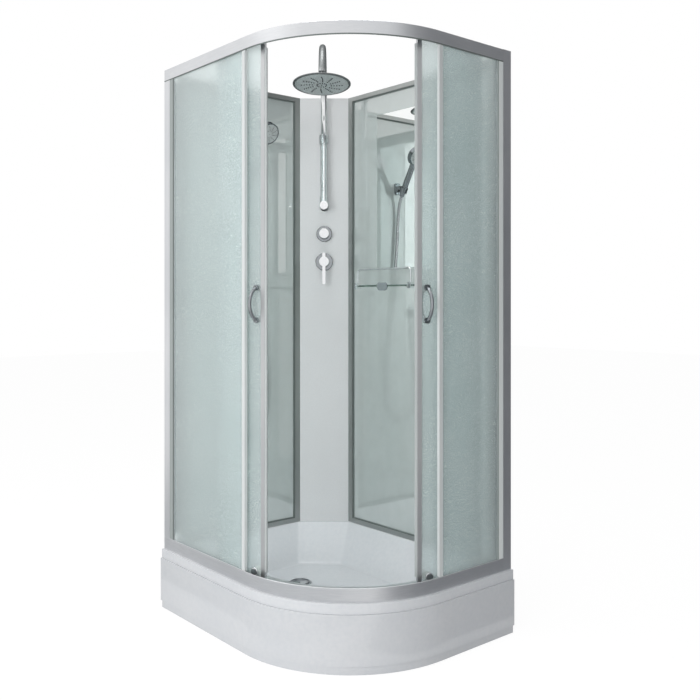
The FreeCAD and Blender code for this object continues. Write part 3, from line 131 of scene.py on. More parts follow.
def new_material(name: str) -> tuple[bpy.types.Material, bpy.types.NodeTree, bpy.types.Node]:
    """Start a node material.

    Args:
        name: the real material's name.

    Returns:
        The material, its node tree and its shader.
    """
    material = bpy.data.materials.new(name)
    material.use_nodes = True
    return material, material.node_tree, material.node_tree.nodes["Principled BSDF"]


class Grain(Enum):
    """How the small marks of a surface run."""

    EVEN = (1.0, 1.0, 1.0)
    UPRIGHT = (1.0, 1.0, 0.02)
    LEVEL = (0.03, 0.03, 1.0)


@dataclass(frozen=True)
class Finish:
    """A surface with slight changes of tone, gloss and relief at a real size."""

    name: str
    pale: str
    deep: str
    gloss: tuple[float, float]
    grain_mm: float
    grain: Grain = Grain.EVEN
    relief_mm: float = 0.0
    metallic: float = 0.0
    ior: float = 1.5
    transmission: float = 0.0
    coat: float = 0.0
    # Tint of the gloss at grazing angles; a dark one paints a dark reflection along the outline.
    rim: str = "FFFFFF"
    body: str = "FFFFFF"
    body_per_m: float = 0.0
    drift_mm: float = 260.0
    fine_detail: float = 3.0
    slow_detail: float = 2.0
    # The stretch of the noise over which the tone, and the gloss, goes from one end to the other.
    tone_span: tuple[float, float] = (0.12, 0.42)
    gloss_span: tuple[float, float] = (0.3, 0.7)
    relief_share: float = 0.6

    def build(self) -> bpy.types.Material:
        """Make the finish as a node material.

        Returns:
            The material.
        """
        material, tree, shader = new_material(self.name)
        place = add_node(tree, "ShaderNodeTexCoord").outputs["Object"]
        run = add_node(tree, "ShaderNodeMapping", {"Vector": place, "Scale": self.grain.value})
        fine = add_node(tree, "ShaderNodeTexNoise", {
            "Vector": run.outputs["Vector"], "Scale": 1 / (self.grain_mm * MM),
            "Detail": self.fine_detail})
        slow = add_node(tree, "ShaderNodeTexNoise", {
            "Vector": place, "Scale": 1 / (self.drift_mm * MM), "Detail": self.slow_detail})
        blend = add_node(tree, "ShaderNodeMath", {
            0: fine.outputs["Fac"], 1: slow.outputs["Fac"]}, operation="MULTIPLY")
        share = add_node(tree, "ShaderNodeMapRange", {
            "Value": blend.outputs[0], "From Min": self.tone_span[0], "From Max": self.tone_span[1]})
        tone = add_node(tree, "ShaderNodeMix", {
            MIX_SHARE: share.outputs[0], MIX_FIRST: linear(self.deep), MIX_SECOND: linear(self.pale)},
            data_type="RGBA")
        rough = add_node(tree, "ShaderNodeMapRange", {
            "Value": fine.outputs["Fac"], "From Min": self.gloss_span[0], "From Max": self.gloss_span[1],
            "To Min": self.gloss[0], "To Max": self.gloss[1]})
        connect(tree, shader, {
            "Base Color": tone.outputs[MIX_RESULT], "Roughness": rough.outputs[0],
            "Metallic": self.metallic, "IOR": self.ior, "Transmission Weight": self.transmission,
            "Coat Weight": self.coat, "Specular Tint": linear(self.rim)})
        if self.body_per_m:
            depth = add_node(tree, "ShaderNodeVolumeAbsorption", {
                "Color": linear(self.body), "Density": self.body_per_m})
            connect(tree, tree.nodes["Material Output"], {"Volume": depth.outputs[0]})
        if self.relief_mm:
            bump = add_node(tree, "ShaderNodeBump", {
                "Height": fine.outputs["Fac"], "Distance": self.relief_mm * MM,
                "Strength": self.relief_share})
            connect(tree, shader, {"Normal": bump.outputs["Normal"]})
        return material


@dataclass(frozen=True)
class WoundMetal:
    """Chromed strip wound into a hose, with a round ridge at each turn and its colour painted pale on the
    ridges and dark in the grooves as painted highlight and shade.
    """

    name: str
    pale: str
    deep: str
    pitch_mm: float
    roughness: float = 0.16
    relief_mm: float = 0.8
    # The wave texture's own count of bands over one unit at a scale of 1.
    bands_per_unit: float = 20 / (2 * math.pi)

    def build(self) -> bpy.types.Material:
        """Make the finish as a node material that follows the hose's own length.

        Returns:
            The material.
        """
        material, tree, shader = new_material(self.name)
        along = add_node(tree, "ShaderNodeUVMap", uv_map="along").outputs["UV"]
        ridge = add_node(tree, "ShaderNodeTexWave", {
            "Vector": along, "Scale": 1 / (self.pitch_mm * MM) / self.bands_per_unit},
            bands_direction="Y", wave_profile="SIN")
        # Painted highlight and shade: the colour is pale on each ridge and dark in each groove.
        tone = add_node(tree, "ShaderNodeMix", {
            MIX_SHARE: ridge.outputs["Fac"], MIX_FIRST: linear(self.deep), MIX_SECOND: linear(self.pale)},
            data_type="RGBA")
        bump = add_node(tree, "ShaderNodeBump", {
            "Height": ridge.outputs["Fac"], "Distance": self.relief_mm * MM})
        connect(tree, shader, {
            "Base Color": tone.outputs[MIX_RESULT], "Normal": bump.outputs["Normal"], "Metallic": 1.0,
            "Roughness": self.roughness})
        return material


@dataclass(frozen=True)
class GradedChrome:
    """Plated tube painted from bright to grey over a stretch of its height in metres, as painted shade,
    while its gloss turns satin.
    """

    name: str
    bright: str
    grey: str
    gloss: tuple[float, float]
    stretch: tuple[float, float]
    # Tint of the gloss at grazing angles; a dark one paints a dark reflection along the outline.
    rim: str
    haze_mm: float = 6.0
    drift_mm: float = 4.0

    def build(self) -> bpy.types.Material:
        """Make the finish as a node material.

        Returns:
            The material.
        """
        material, tree, shader = new_material(self.name)
        place = add_node(tree, "ShaderNodeTexCoord").outputs["Object"]
        height = add_node(tree, "ShaderNodeSeparateXYZ", {"Vector": place}).outputs["Z"]
        haze = add_node(tree, "ShaderNodeTexNoise", {"Vector": place, "Scale": 1 / (self.haze_mm * MM)})
        drift = add_node(tree, "ShaderNodeMath", {
            0: haze.outputs["Fac"], 1: self.drift_mm * MM, 2: height}, operation="MULTIPLY_ADD")
        share = add_node(tree, "ShaderNodeMapRange", {
            "Value": drift.outputs[0], "From Min": self.stretch[0], "From Max": self.stretch[1]})
        # Painted shade: the colour turns from bright to grey up the stretch.
        tone = add_node(tree, "ShaderNodeMix", {
            MIX_SHARE: share.outputs[0], MIX_FIRST: linear(self.bright), MIX_SECOND: linear(self.grey)},
            data_type="RGBA")
        rough = add_node(tree, "ShaderNodeMapRange", {
            "Value": share.outputs[0], "To Min": self.gloss[0], "To Max": self.gloss[1]})
        connect(tree, shader, {
            "Base Color": tone.outputs[MIX_RESULT], "Roughness": rough.outputs[0], "Metallic": 1.0,
            "Specular Tint": linear(self.rim)})
        return material


# Anodised aluminium, drawn and matt etched: a soft broad sheen with faint drawing lines along its length.
ALUMINIUM_UPRIGHT = Finish(
    "anodised_aluminium_upright", "E2E3E5", "D4D6D9", (0.36, 0.44), 1.2, Grain.UPRIGHT, 0.02, 1.0)
ALUMINIUM_LEVEL = Finish(
    "anodised_aluminium_level", "E0E1E3", "D2D4D7", (0.36, 0.44), 1.2, Grain.LEVEL, 0.02, 1.0)
# The same aluminium darkened on the door posts: painted shade.
ALUMINIUM_DULL = Finish(
    "post_aluminium_painted_shade", "D0D1D2", "C4C6C8", (0.36, 0.44), 1.2, Grain.UPRIGHT, 0.02, 1.0)
# The same aluminium darkened to a duller grey on the wall frames: painted shade.
ALUMINIUM_GREY = Finish(
    "frame_aluminium_painted_shade", "B5B8B7", "A9ADAB", (0.36, 0.44), 1.2, Grain.UPRIGHT, 0.02, 1.0)
# Polished chrome on brass: mirror sharp with a trace of polishing haze, and a dark edge tint that paints
# a dark reflection towards its outline.
CHROME = Finish("polished_chrome", "F4F5F6", "E8EAEC", (0.03, 0.07), 6.0, metallic=1.0, rim="30343A")
# Chrome on moulded plastic: as sharp, but its colour is darkened to a greyer mirror as painted shade,
# with a dark edge tint as painted reflection.
DEEP_CHROME = Finish(
    "chrome_painted_shade", "A6AAAD", "979B9F", (0.04, 0.09), 6.0, metallic=1.0, rim="1C1F22")
# Plated tube of the bent arm: bright where it slides, its colour painted darker grey over the bend as
# painted shade, its gloss turning satin there.
ARM_CHROME = GradedChrome(
    "graded_plated_chrome", "EEF0F1", "8F9292", (0.05, 0.48), (1.94, 2.01), "4A4E52")
# Satin chrome of the rain head: a soft, broad sheen, its colour darkened to grey as painted shade.
GREY_CHROME = Finish(
    "satin_chrome_painted_shade", "949797", "898C8D", (0.44, 0.52), 6.0, metallic=1.0, rim="777B7D")
# Vacuum formed sanitary acrylic: glossy, white, with a very slight orange peel.
ACRYLIC = Finish(
    "sanitary_acrylic", "E6E8EB", "E0E3E7", (0.10, 0.16), 14.0, relief_mm=0.004, ior=1.49, coat=0.2)
# The same acrylic on the front panel, thinner, and its colour a shade greyer as painted shade against the
# stronger light it gets.
PANEL_ACRYLIC = Finish(
    "panel_acrylic", "DEE0E3", "D8DBDF", (0.10, 0.16), 14.0, relief_mm=0.004, ior=1.49, coat=0.2)
# Acid frosted tempered glass: light and blurred shapes pass, and its body is faintly green.
FROSTED = Finish(
    "frosted_tempered_glass", "E7EFEF", "E0EAEA", (0.22, 0.28), 2.0, relief_mm=0.03, ior=1.45,
    transmission=0.74)
# Clear float glass of the shelf: sharp, clear through its thickness and deep green along its edges.
CLEAR = Finish(
    "clear_float_glass", "F4FAF8", "ECF5F2", (0.01, 0.03), 30.0, transmission=1.0, body="8AB4A6",
    body_per_m=16.0)
# Pressed and lacquered panel of the column: satin pale grey.
COLUMN_GREY = Finish(
    "satin_grey_lacquer", "EAEBEC", "E4E5E6", (0.30, 0.38), 4.0, relief_mm=0.01, coat=0.1)
# Extruded EPDM gasket: matt, dark grey.
RUBBER = Finish("matt_epdm_gasket", "7A8280", "6E7674", (0.6, 0.75), 1.5, relief_mm=0.03)
# The same gasket on the right, painted paler: painted light on the shaded side.
PALE_RUBBER = Finish("epdm_gasket_painted_light", "AEB8B6", "A3ADAB", (0.6, 0.75), 1.5, relief_mm=0.03)
# Extruded soft PVC of the magnet seals: milky pale grey.
VINYL = Finish("milky_pvc_seal", "DDE2E2", "D2D8D8", (0.35, 0.5), 5.0, transmission=0.2)
# Extruded soft PVC of the left glazing seal: grey, satin.
GLAZING = Finish("grey_pvc_seal", "ABB2B1", "A2AAA9", (0.35, 0.5), 5.0, Grain.UPRIGHT)
# The same seal on the right, painted paler: painted light on the shaded side.
PALE_GLAZING = Finish("pvc_seal_painted_light", "F2F7F6", "ECF2F1", (0.35, 0.5), 5.0, Grain.UPRIGHT)
# Extruded hard PVC strip on the free edge of the fixed glass: pale grey, satin.
EDGE_STRIP = Finish("pale_hard_pvc", "E4E8E8", "DBE0E0", (0.3, 0.4), 4.0, Grain.UPRIGHT)
# Turned nylon roller: plain, slightly waxy.
NYLON = Finish("natural_nylon", "EBEAE4", "DEDDD6", (0.35, 0.45), 3.0, relief_mm=0.02)
# Powder coated steel frame: fine grit.
POWDER = Finish("powder_coated_steel", "BFC2C4", "B2B6B9", (0.5, 0.62), 0.8, relief_mm=0.05)
# Moulded polypropylene of feet and drain: fine spark texture.
MOULDED = Finish("moulded_grey_polypropylene", "7C8283", "6C7273", (0.35, 0.5), 1.6, relief_mm=0.03)
# Moulded ABS face of the rain head: satin grey.
FACE_PLASTIC = Finish("satin_grey_abs", "C2CACA", "B5BDBD", (0.22, 0.32), 2.0, relief_mm=0.02)
# Moulded ABS spray plate of the hand shower: satin pale grey.
PLATE_PLASTIC = Finish("satin_pale_abs", "CCD1D1", "C0C6C6", (0.22, 0.32), 2.0, relief_mm=0.02)
# Turned brass: bare valve bodies behind the column.
BRASS = Finish("turned_brass", "C9A766", "B08D4E", (0.25, 0.4), 1.0, Grain.LEVEL, 0.02, 1.0)
# Moulded silicone spray jets: dark grey, matt.
JET_RUBBER = Finish("dark_silicone_jet", "3A3D3E", "2C2F30", (0.4, 0.55), 0.8, relief_mm=0.02)
# Float glass lacquered grey green on its back: a deep gloss, with the lacquer's reflection in its IOR.
WALL_GLASS = Finish("back_lacquered_glass", "C4CDCB", "BFC8C6", (0.012, 0.025), 40.0, ior=2.77)
# Silvered float glass: a true mirror, its image a shade greener and darker than the thing itself.
SILVER = Finish("silvered_mirror_glass", "FAFCFB", "F6F9F8", (0.004, 0.008), 60.0, metallic=1.0)
# Ground and polished edge of the mirror's glass: deep green grey.
GLASS_EDGE = Finish("polished_glass_edge", "8FA39E", "82968F", (0.05, 0.1), 8.0)
# Wound chromed steel strip; the turns are drawn at 4 mm so that they show, with painted highlight on each
# ridge and painted shade in each groove.
HOSE_METAL = WoundMetal("wound_chrome_strip", "E4E6E8", "8C9092", 4.0)

SEE_THROUGH = (FROSTED, CLEAR)
Surface = Finish | WoundMetal | GradedChrome


class Wardrobe:
    """Keeps each finish's material so that it is made once."""

    def __init__(self) -> None:
        """Start with nothing made."""
        self.made: dict[str, bpy.types.Material] = {}

    def get(self, finish: Surface) -> bpy.types.Material:
        """Find or make the material of a finish.

        Args:
            finish: any of the finish classes.

        Returns:
            The material.
        """
        if finish.name not in self.made:
            self.made[finish.name] = finish.build()
        return self.made[finish.name]

    def wear(self, piece: bpy.types.Object, finish: Surface) -> None:
        """Give a piece one finish all over; glass lets the lamps through.

        Args:
            piece: the object to dress.
            finish: any of the finish classes.
        """
        piece.data.materials.clear()
        piece.data.materials.append(self.get(finish))
        piece.visible_shadow = finish not in SEE_THROUGH


def clear_selection() -> None:
    """Deselect everything in object mode."""
    if bpy.context.object and bpy.context.object.mode != "OBJECT":
        bpy.ops.object.mode_set(mode="OBJECT")
    for thing in bpy.context.selected_objects:
        thing.select_set(False)


def pick(piece: bpy.types.Object) -> None:
    """Make one piece the only selected and active one.

    Args:
        piece: the object.
    """
    clear_selection()
    bpy.context.view_layer.objects.active = piece
    piece.select_set(True)


def settle(piece: bpy.types.Object, place: Matrix) -> None:
    """Put a piece's place into its mesh and leave its object at the origin.

    Args:
        piece: the object to settle.
        place: where it goes, after its own place.
    """
    bpy.context.view_layer.update()
    piece.data.transform(place @ piece.matrix_world)
    piece.matrix_world = Matrix.Identity(4)


def smooth(piece: bpy.types.Object, degrees: float = 35.0) -> None:
    """Shade a piece smooth up to an edge angle.

    Args:
        piece: the object to shade.
        degrees: edges sharper than this stay sharp.
    """
    pick(piece)
    bpy.ops.object.shade_smooth_by_angle(angle=math.radians(degrees))
    clear_selection()


def choose_faces(piece: bpy.types.Object, way: tuple[float, float, float]) -> None:
    """Go into edit mode with only the faces selected that face one way.

    Args:
        piece: the active object.
        way: the direction.
    """
    bpy.ops.object.mode_set(mode="EDIT")
    bpy.ops.mesh.select_mode(type="FACE")
    bpy.ops.mesh.select_all(action="DESELECT")
    bpy.ops.object.mode_set(mode="OBJECT")
    for face in piece.data.polygons:
        face.select = face.normal.dot(Vector(way)) > FACING
    bpy.ops.object.mode_set(mode="EDIT")


def soften(piece: bpy.types.Object, width: float, segments: int = 2) -> None:
    """Round a piece's edges with a bevel and apply it.

    Args:
        piece: the object.
        width: width of the bevel in metres.
        segments: number of strips in it.
    """
    pick(piece)
    bevel = piece.modifiers.new("edge", "BEVEL")
    bevel.width = width
    bevel.segments = segments
    bevel.limit_method = "ANGLE"
    bpy.ops.object.modifier_apply(modifier=bevel.name)
    clear_selection()


def join(pieces: list[bpy.types.Object], name: str) -> bpy.types.Object:
    """Join pieces into one.

    Args:
        pieces: the objects, all at the origin.
        name: name of the joined object and its mesh.

    Returns:
        The joined object.
    """
    clear_selection()
    for piece in pieces:
        piece.select_set(True)
    bpy.context.view_layer.objects.active = pieces[0]
    bpy.ops.object.join()
    pieces[0].name = name
    pieces[0].data.name = name
    clear_selection()
    return pieces[0]


@dataclass
class SubAssembly:
    """A group of solids with their finishes."""

    finishes: ClassVar[dict[str, Surface]] = {}
    wardrobe: Wardrobe

    def dress(self) -> None:
        """Give every node of the group its finish."""
        for name, finish in self.finishes.items():
            self.wardrobe.wear(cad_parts[name], finish)
            LOG.info("dressed %s", name)

    def build(self) -> None:
        """Model what the solids leave out."""


@dataclass
class TrayGroup(SubAssembly):
    """Tray, front panel, support frame, feet and drain."""

    finishes: ClassVar[dict[str, Surface]] = {
        "tray": ACRYLIC, "apron": PANEL_ACRYLIC, "tray_frame": POWDER, "leveling_feet": MOULDED,
        "drain_body": MOULDED, "drain_flange": CHROME, "drain_cover": CHROME}


@dataclass
class FrontFrame(SubAssembly):
    """Rails, wall profiles, fixed glass and the seals between profile and glass."""

    finishes: ClassVar[dict[str, Surface]] = {
        "top_rail": ALUMINIUM_LEVEL, "bottom_rail": ALUMINIUM_LEVEL,
        "left_wall_profile": ALUMINIUM_UPRIGHT, "right_wall_profile": ALUMINIUM_UPRIGHT,
        "end_strips": EDGE_STRIP, "left_fixed_glass": FROSTED, "right_fixed_glass": FROSTED}
    # Nearest and farthest distance from the wall of a seal's strip and of the dark lip beside it.
    strip: tuple[float, float] = (0.0402, 0.0618)
    bead: tuple[float, float] = (0.0620, 0.0698)
    # How far the back of a seal lies behind the profile's face.
    rebate: float = 0.00145
    end_gap: float = 0.0005
    proud: float = 0.0012
    edge_share: float = 0.3
    groove_edge: float = 0.0035
    sunk: float = 0.0004
    lip: float = 0.0034
    lip_proud: float = 0.0003
    lip_merge: float = 0.00003

    def seal(self, name: str, span: tuple[float, float], thick: float, groove: bool) -> bpy.types.Object:
        """Model one upright seal on its back, its width along X and its face at -Y.

        Args:
            name: name of the piece.
            span: nearest and farthest distance from the wall.
            thick: how far it stands out.
            groove: whether its face has a shallow groove.

        Returns:
            The seal, with X counted from the wall and Y from the bottom of the profile's rebate.
        """
        clear_selection()
        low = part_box("bottom_rail")[1].z + self.end_gap
        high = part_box("top_rail")[0].z - self.end_gap
        middle = ((span[0] + span[1]) / 2, -thick / 2, (low + high) / 2)
        bpy.ops.mesh.primitive_cube_add(size=1, location=middle)
        piece = bpy.context.object
        piece.name = piece.data.name = name
        piece.scale = (span[1] - span[0], thick, high - low)
        settle(piece, Matrix.Identity(4))
        if groove:
            pick(piece)
            choose_faces(piece, (0, -1, 0))
            bpy.ops.mesh.inset(thickness=self.groove_edge)
            bpy.ops.transform.translate(value=(0, self.sunk, 0))
            bpy.ops.object.mode_set(mode="OBJECT")
        soften(piece, thick * self.edge_share)
        return piece

    def hang_rail_shade_lip(self) -> None:
        """Hang a dark lip under the top rail, grown from the rail's own lower face, to paint the shade of
        the rail's shadowed underside.
        """
        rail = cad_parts["top_rail"]
        lip = bpy.data.objects.new("top_rail_shade_lip", rail.data.copy())
        lip.data.name = lip.name
        lip.matrix_world = rail.matrix_world
        bpy.context.collection.objects.link(lip)
        settle(lip, Matrix.Identity(4))
        pick(lip)
        choose_faces(lip, (0, 0, -1))
        bpy.ops.object.mode_set(mode="OBJECT")
        foot = min(face.center.z for face in lip.data.polygons)
        for face in lip.data.polygons:
            face.select = not (face.select and face.center.z < foot + self.sunk)
        bpy.ops.object.mode_set(mode="EDIT")
        bpy.ops.mesh.delete(type="FACE")
        bpy.ops.mesh.select_all(action="SELECT")
        bpy.ops.mesh.remove_doubles(threshold=self.lip_merge)
        bpy.ops.object.mode_set(mode="OBJECT")
        depth = lip.modifiers.new("depth", "SOLIDIFY")
        depth.thickness = self.lip
        depth.offset = 1
        bpy.ops.object.modifier_apply(modifier=depth.name)
        bpy.ops.object.mode_set(mode="EDIT")
        bpy.ops.mesh.select_all(action="SELECT")
        bpy.ops.mesh.normals_make_consistent(inside=False)
        bpy.ops.transform.shrink_fatten(value=self.lip_proud)
        bpy.ops.object.mode_set(mode="OBJECT")
        for vertex in lip.data.vertices:
            vertex.co.x = max(vertex.co.x, CAD_BOX[0][0])
        soften(lip, self.lip_proud)
        smooth(lip)
        self.wardrobe.wear(lip, RUBBER)
        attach(lip, "root")
        LOG.info("built top_rail_shade_lip")

    def build(self) -> None:
        """Model the dark lip under the rail and the glazing seals with their dark lips on both sides; the
        lips paint the shade under the rail and in the gaps at the glass's edge.
        """
        self.hang_rail_shade_lip()
        left_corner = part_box("left_wall_profile")[0]
        right_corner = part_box("right_wall_profile")[1]
        left = Matrix.Translation((left_corner.x, left_corner.y + self.rebate, 0))
        # The right side is the left one mirrored: away from the wall is -Y, and the face looks along +X.
        right = Matrix.Translation((right_corner.x - self.rebate, right_corner.y, 0)) @ Matrix(
            ((0, -1, 0, 0), (-1, 0, 0, 0), (0, 0, 1, 0), (0, 0, 0, 1)))
        # On the right the seal and its lip take paler copies of the left finishes: painted light on the
        # shaded side.
        for side, place, strip, bead in (
                ("left", left, GLAZING, RUBBER), ("right", right, PALE_GLAZING, PALE_RUBBER)):
            # Beside each seal lies a dark lip, a dark strip that paints the shadowed gap at the glass's
            # edge.
            rows = ((f"{side}_glazing_seal", self.strip, self.proud, True, strip, "pale_vinyl"),
                    (f"{side}_glazing_shade_lip", self.bead, self.proud / 2, False, bead, "dark_rubber"))
            for name, span, thick, groove, finish, slot in rows:
                piece = self.seal(name, span, thick, groove)
                settle(piece, place)
                if place.determinant() < 0:
                    piece.data.flip_normals()
                smooth(piece)
                self.wardrobe.wear(piece, finish)
                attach(piece, "root")
                LOG.info("built %s", name)


@dataclass
class BackWalls(SubAssembly):
    """Framed wall glass with a mirror, and the corner column."""

    finishes: ClassVar[dict[str, Surface]] = {
        "left_wall_frame": ALUMINIUM_GREY, "right_wall_frame": ALUMINIUM_GREY,
        "left_wall_glass": WALL_GLASS, "right_wall_glass": WALL_GLASS, "wall_gaskets": RUBBER,
        "corner_column": COLUMN_GREY}
    mirror_width: float = 0.313
    mirror_heights: tuple[float, float] = (1.2585, 1.8712)
    mirror_thick: float = 0.003
    arris: float = 0.0006
    tape: float = 0.0001
    flat: float = 0.99

    def build(self) -> None:
        """Hang the mirror on the right wall over the shelf, its face silvered and its edges ground."""
        clear_selection()
        shelf_low, shelf_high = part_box("shelf_plate")
        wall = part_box("right_wall_glass")[0][1]
        low, high = self.mirror_heights
        bpy.ops.mesh.primitive_cube_add(size=1, location=(
            (shelf_low[0] + shelf_high[0]) / 2, wall - self.mirror_thick / 2, (low + high) / 2))
        mirror = bpy.context.object
        mirror.name = mirror.data.name = "wall_mirror"
        mirror.scale = (self.mirror_width, self.mirror_thick, high - low)
        settle(mirror, Matrix.Translation((0, -self.tape, 0)))
        soften(mirror, self.arris)
        self.wardrobe.wear(mirror, SILVER)
        mirror.data.materials.append(self.wardrobe.get(GLASS_EDGE))
        for face in mirror.data.polygons:
            face.material_index = 0 if face.normal.y < -self.flat else 1
        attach(mirror, "root")
        LOG.info("built wall_mirror")


DOOR_FINISHES = {
    "door_glass": FROSTED, "door_post": ALUMINIUM_DULL, "magnet_seal": VINYL, "handles": DEEP_CHROME,
    "roller_axles": CHROME, "top_front_wheel": NYLON, "top_rear_wheel": NYLON,
    "bottom_front_wheel": NYLON, "bottom_rear_wheel": NYLON}


@dataclass
class Doors(SubAssembly):
    """Both sliding doors with posts, seals, handles and rollers."""

    finishes: ClassVar[dict[str, Surface]] = {
        f"{side}_{part}": finish for side in ("left", "right") for part, finish in DOOR_FINISHES.items()}


@dataclass
class JetField:
    """Silicone jets set in curved arms on a round spray face, with turns in radians."""

    name: str
    body: str
    place: Matrix
    jet_radius: float
    jet_height: float
    arms: int
    rings: tuple[float, ...]
    twist: float
    start: float = 0.0
    sides: int = 8
    tip_inset: float = 0.4
    tip_rise: float = 0.35

    def jet(self) -> bpy.types.Object:
        """Model one jet: a short stub with a narrowed, raised tip.

        Returns:
            The jet, its axis along Z.
        """
        clear_selection()
        bpy.ops.mesh.primitive_cylinder_add(
            vertices=self.sides, radius=self.jet_radius, depth=self.jet_height)
        stub = bpy.context.object
        choose_faces(stub, (0, 0, 1))
        bpy.ops.mesh.inset(thickness=self.jet_radius * self.tip_inset)
        bpy.ops.transform.translate(value=(0, 0, self.jet_height * self.tip_rise))
        bpy.ops.object.mode_set(mode="OBJECT")
        return stub

    def build(self, wardrobe: Wardrobe) -> None:
        """Copy the jet over the face and join the copies.

        Args:
            wardrobe: source of materials.
        """
        first = self.jet()
        spots = [(0.0, 0.0)]
        for arm in range(self.arms):
            for ring in self.rings:
                turn = self.start + 2 * math.pi * arm / self.arms + self.twist * ring / self.rings[-1]
                spots.append((ring * math.cos(turn), ring * math.sin(turn)))
        jets = []
        for x, y in spots:
            copy = bpy.data.objects.new(self.name, first.data.copy())
            bpy.context.collection.objects.link(copy)
            copy.data.transform(Matrix.Translation((x, y, self.jet_height / 2)))
            jets.append(copy)
        bpy.data.objects.remove(first)
        jets_piece = join(jets, self.name)
        settle(jets_piece, self.place)
        wardrobe.wear(jets_piece, JET_RUBBER)
        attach(jets_piece, self.body)
        LOG.info("built %s with %d jets", self.name, len(spots))


@dataclass
class ColumnFittings(SubAssembly):
    """Mixer, diverter, riser and rain head on the corner column."""

    finishes: ClassVar[dict[str, Surface]] = {
        "mixer_cap": CHROME, "mixer_lever": CHROME, "diverter_knob": CHROME, "riser_elbow": CHROME,
        "riser_tube": CHROME, "riser_collar": CHROME, "valve_rosettes": DEEP_CHROME,
        "ball_nut": DEEP_CHROME, "mixer_body": BRASS, "diverter_body": BRASS, "supply_pipes": BRASS,
        "slide_bush": MOULDED, "spray_face": FACE_PLASTIC, "rain_head": GREY_CHROME,
        "cane_arm": ARM_CHROME}
    column_run: tuple[float, float] = (0.129, 0.153)
    head_tilt: float = -7.5
    face_half: float = 0.0014
    rings: tuple[float, ...] = (0.018, 0.036, 0.046, 0.056, 0.066, 0.076)

    def face_place(self) -> Matrix:
        """Find the rain head's spray face.

        Returns:
            A place at the face's middle with its Z axis pointing out of the face.
        """
        low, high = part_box("spray_face")
        middle = (Vector(low) + Vector(high)) / 2
        bearing = math.atan2(self.column_run[1], self.column_run[0])
        turn = Matrix.Rotation(bearing, 4, "Z") @ Matrix.Rotation(math.radians(self.head_tilt), 4, "X")
        down = turn.to_3x3() @ Vector((0, 0, -self.face_half))
        return Matrix.Translation(middle + down) @ turn @ Matrix.Rotation(math.pi, 4, "X")

    def build(self) -> None:
        """Set the jets into the rain head."""
        JetField("rain_jets", "rain_head", self.face_place(), jet_radius=0.0020, jet_height=0.0022,
                 arms=12, rings=self.rings, twist=0.2, start=-0.22).build(self.wardrobe)


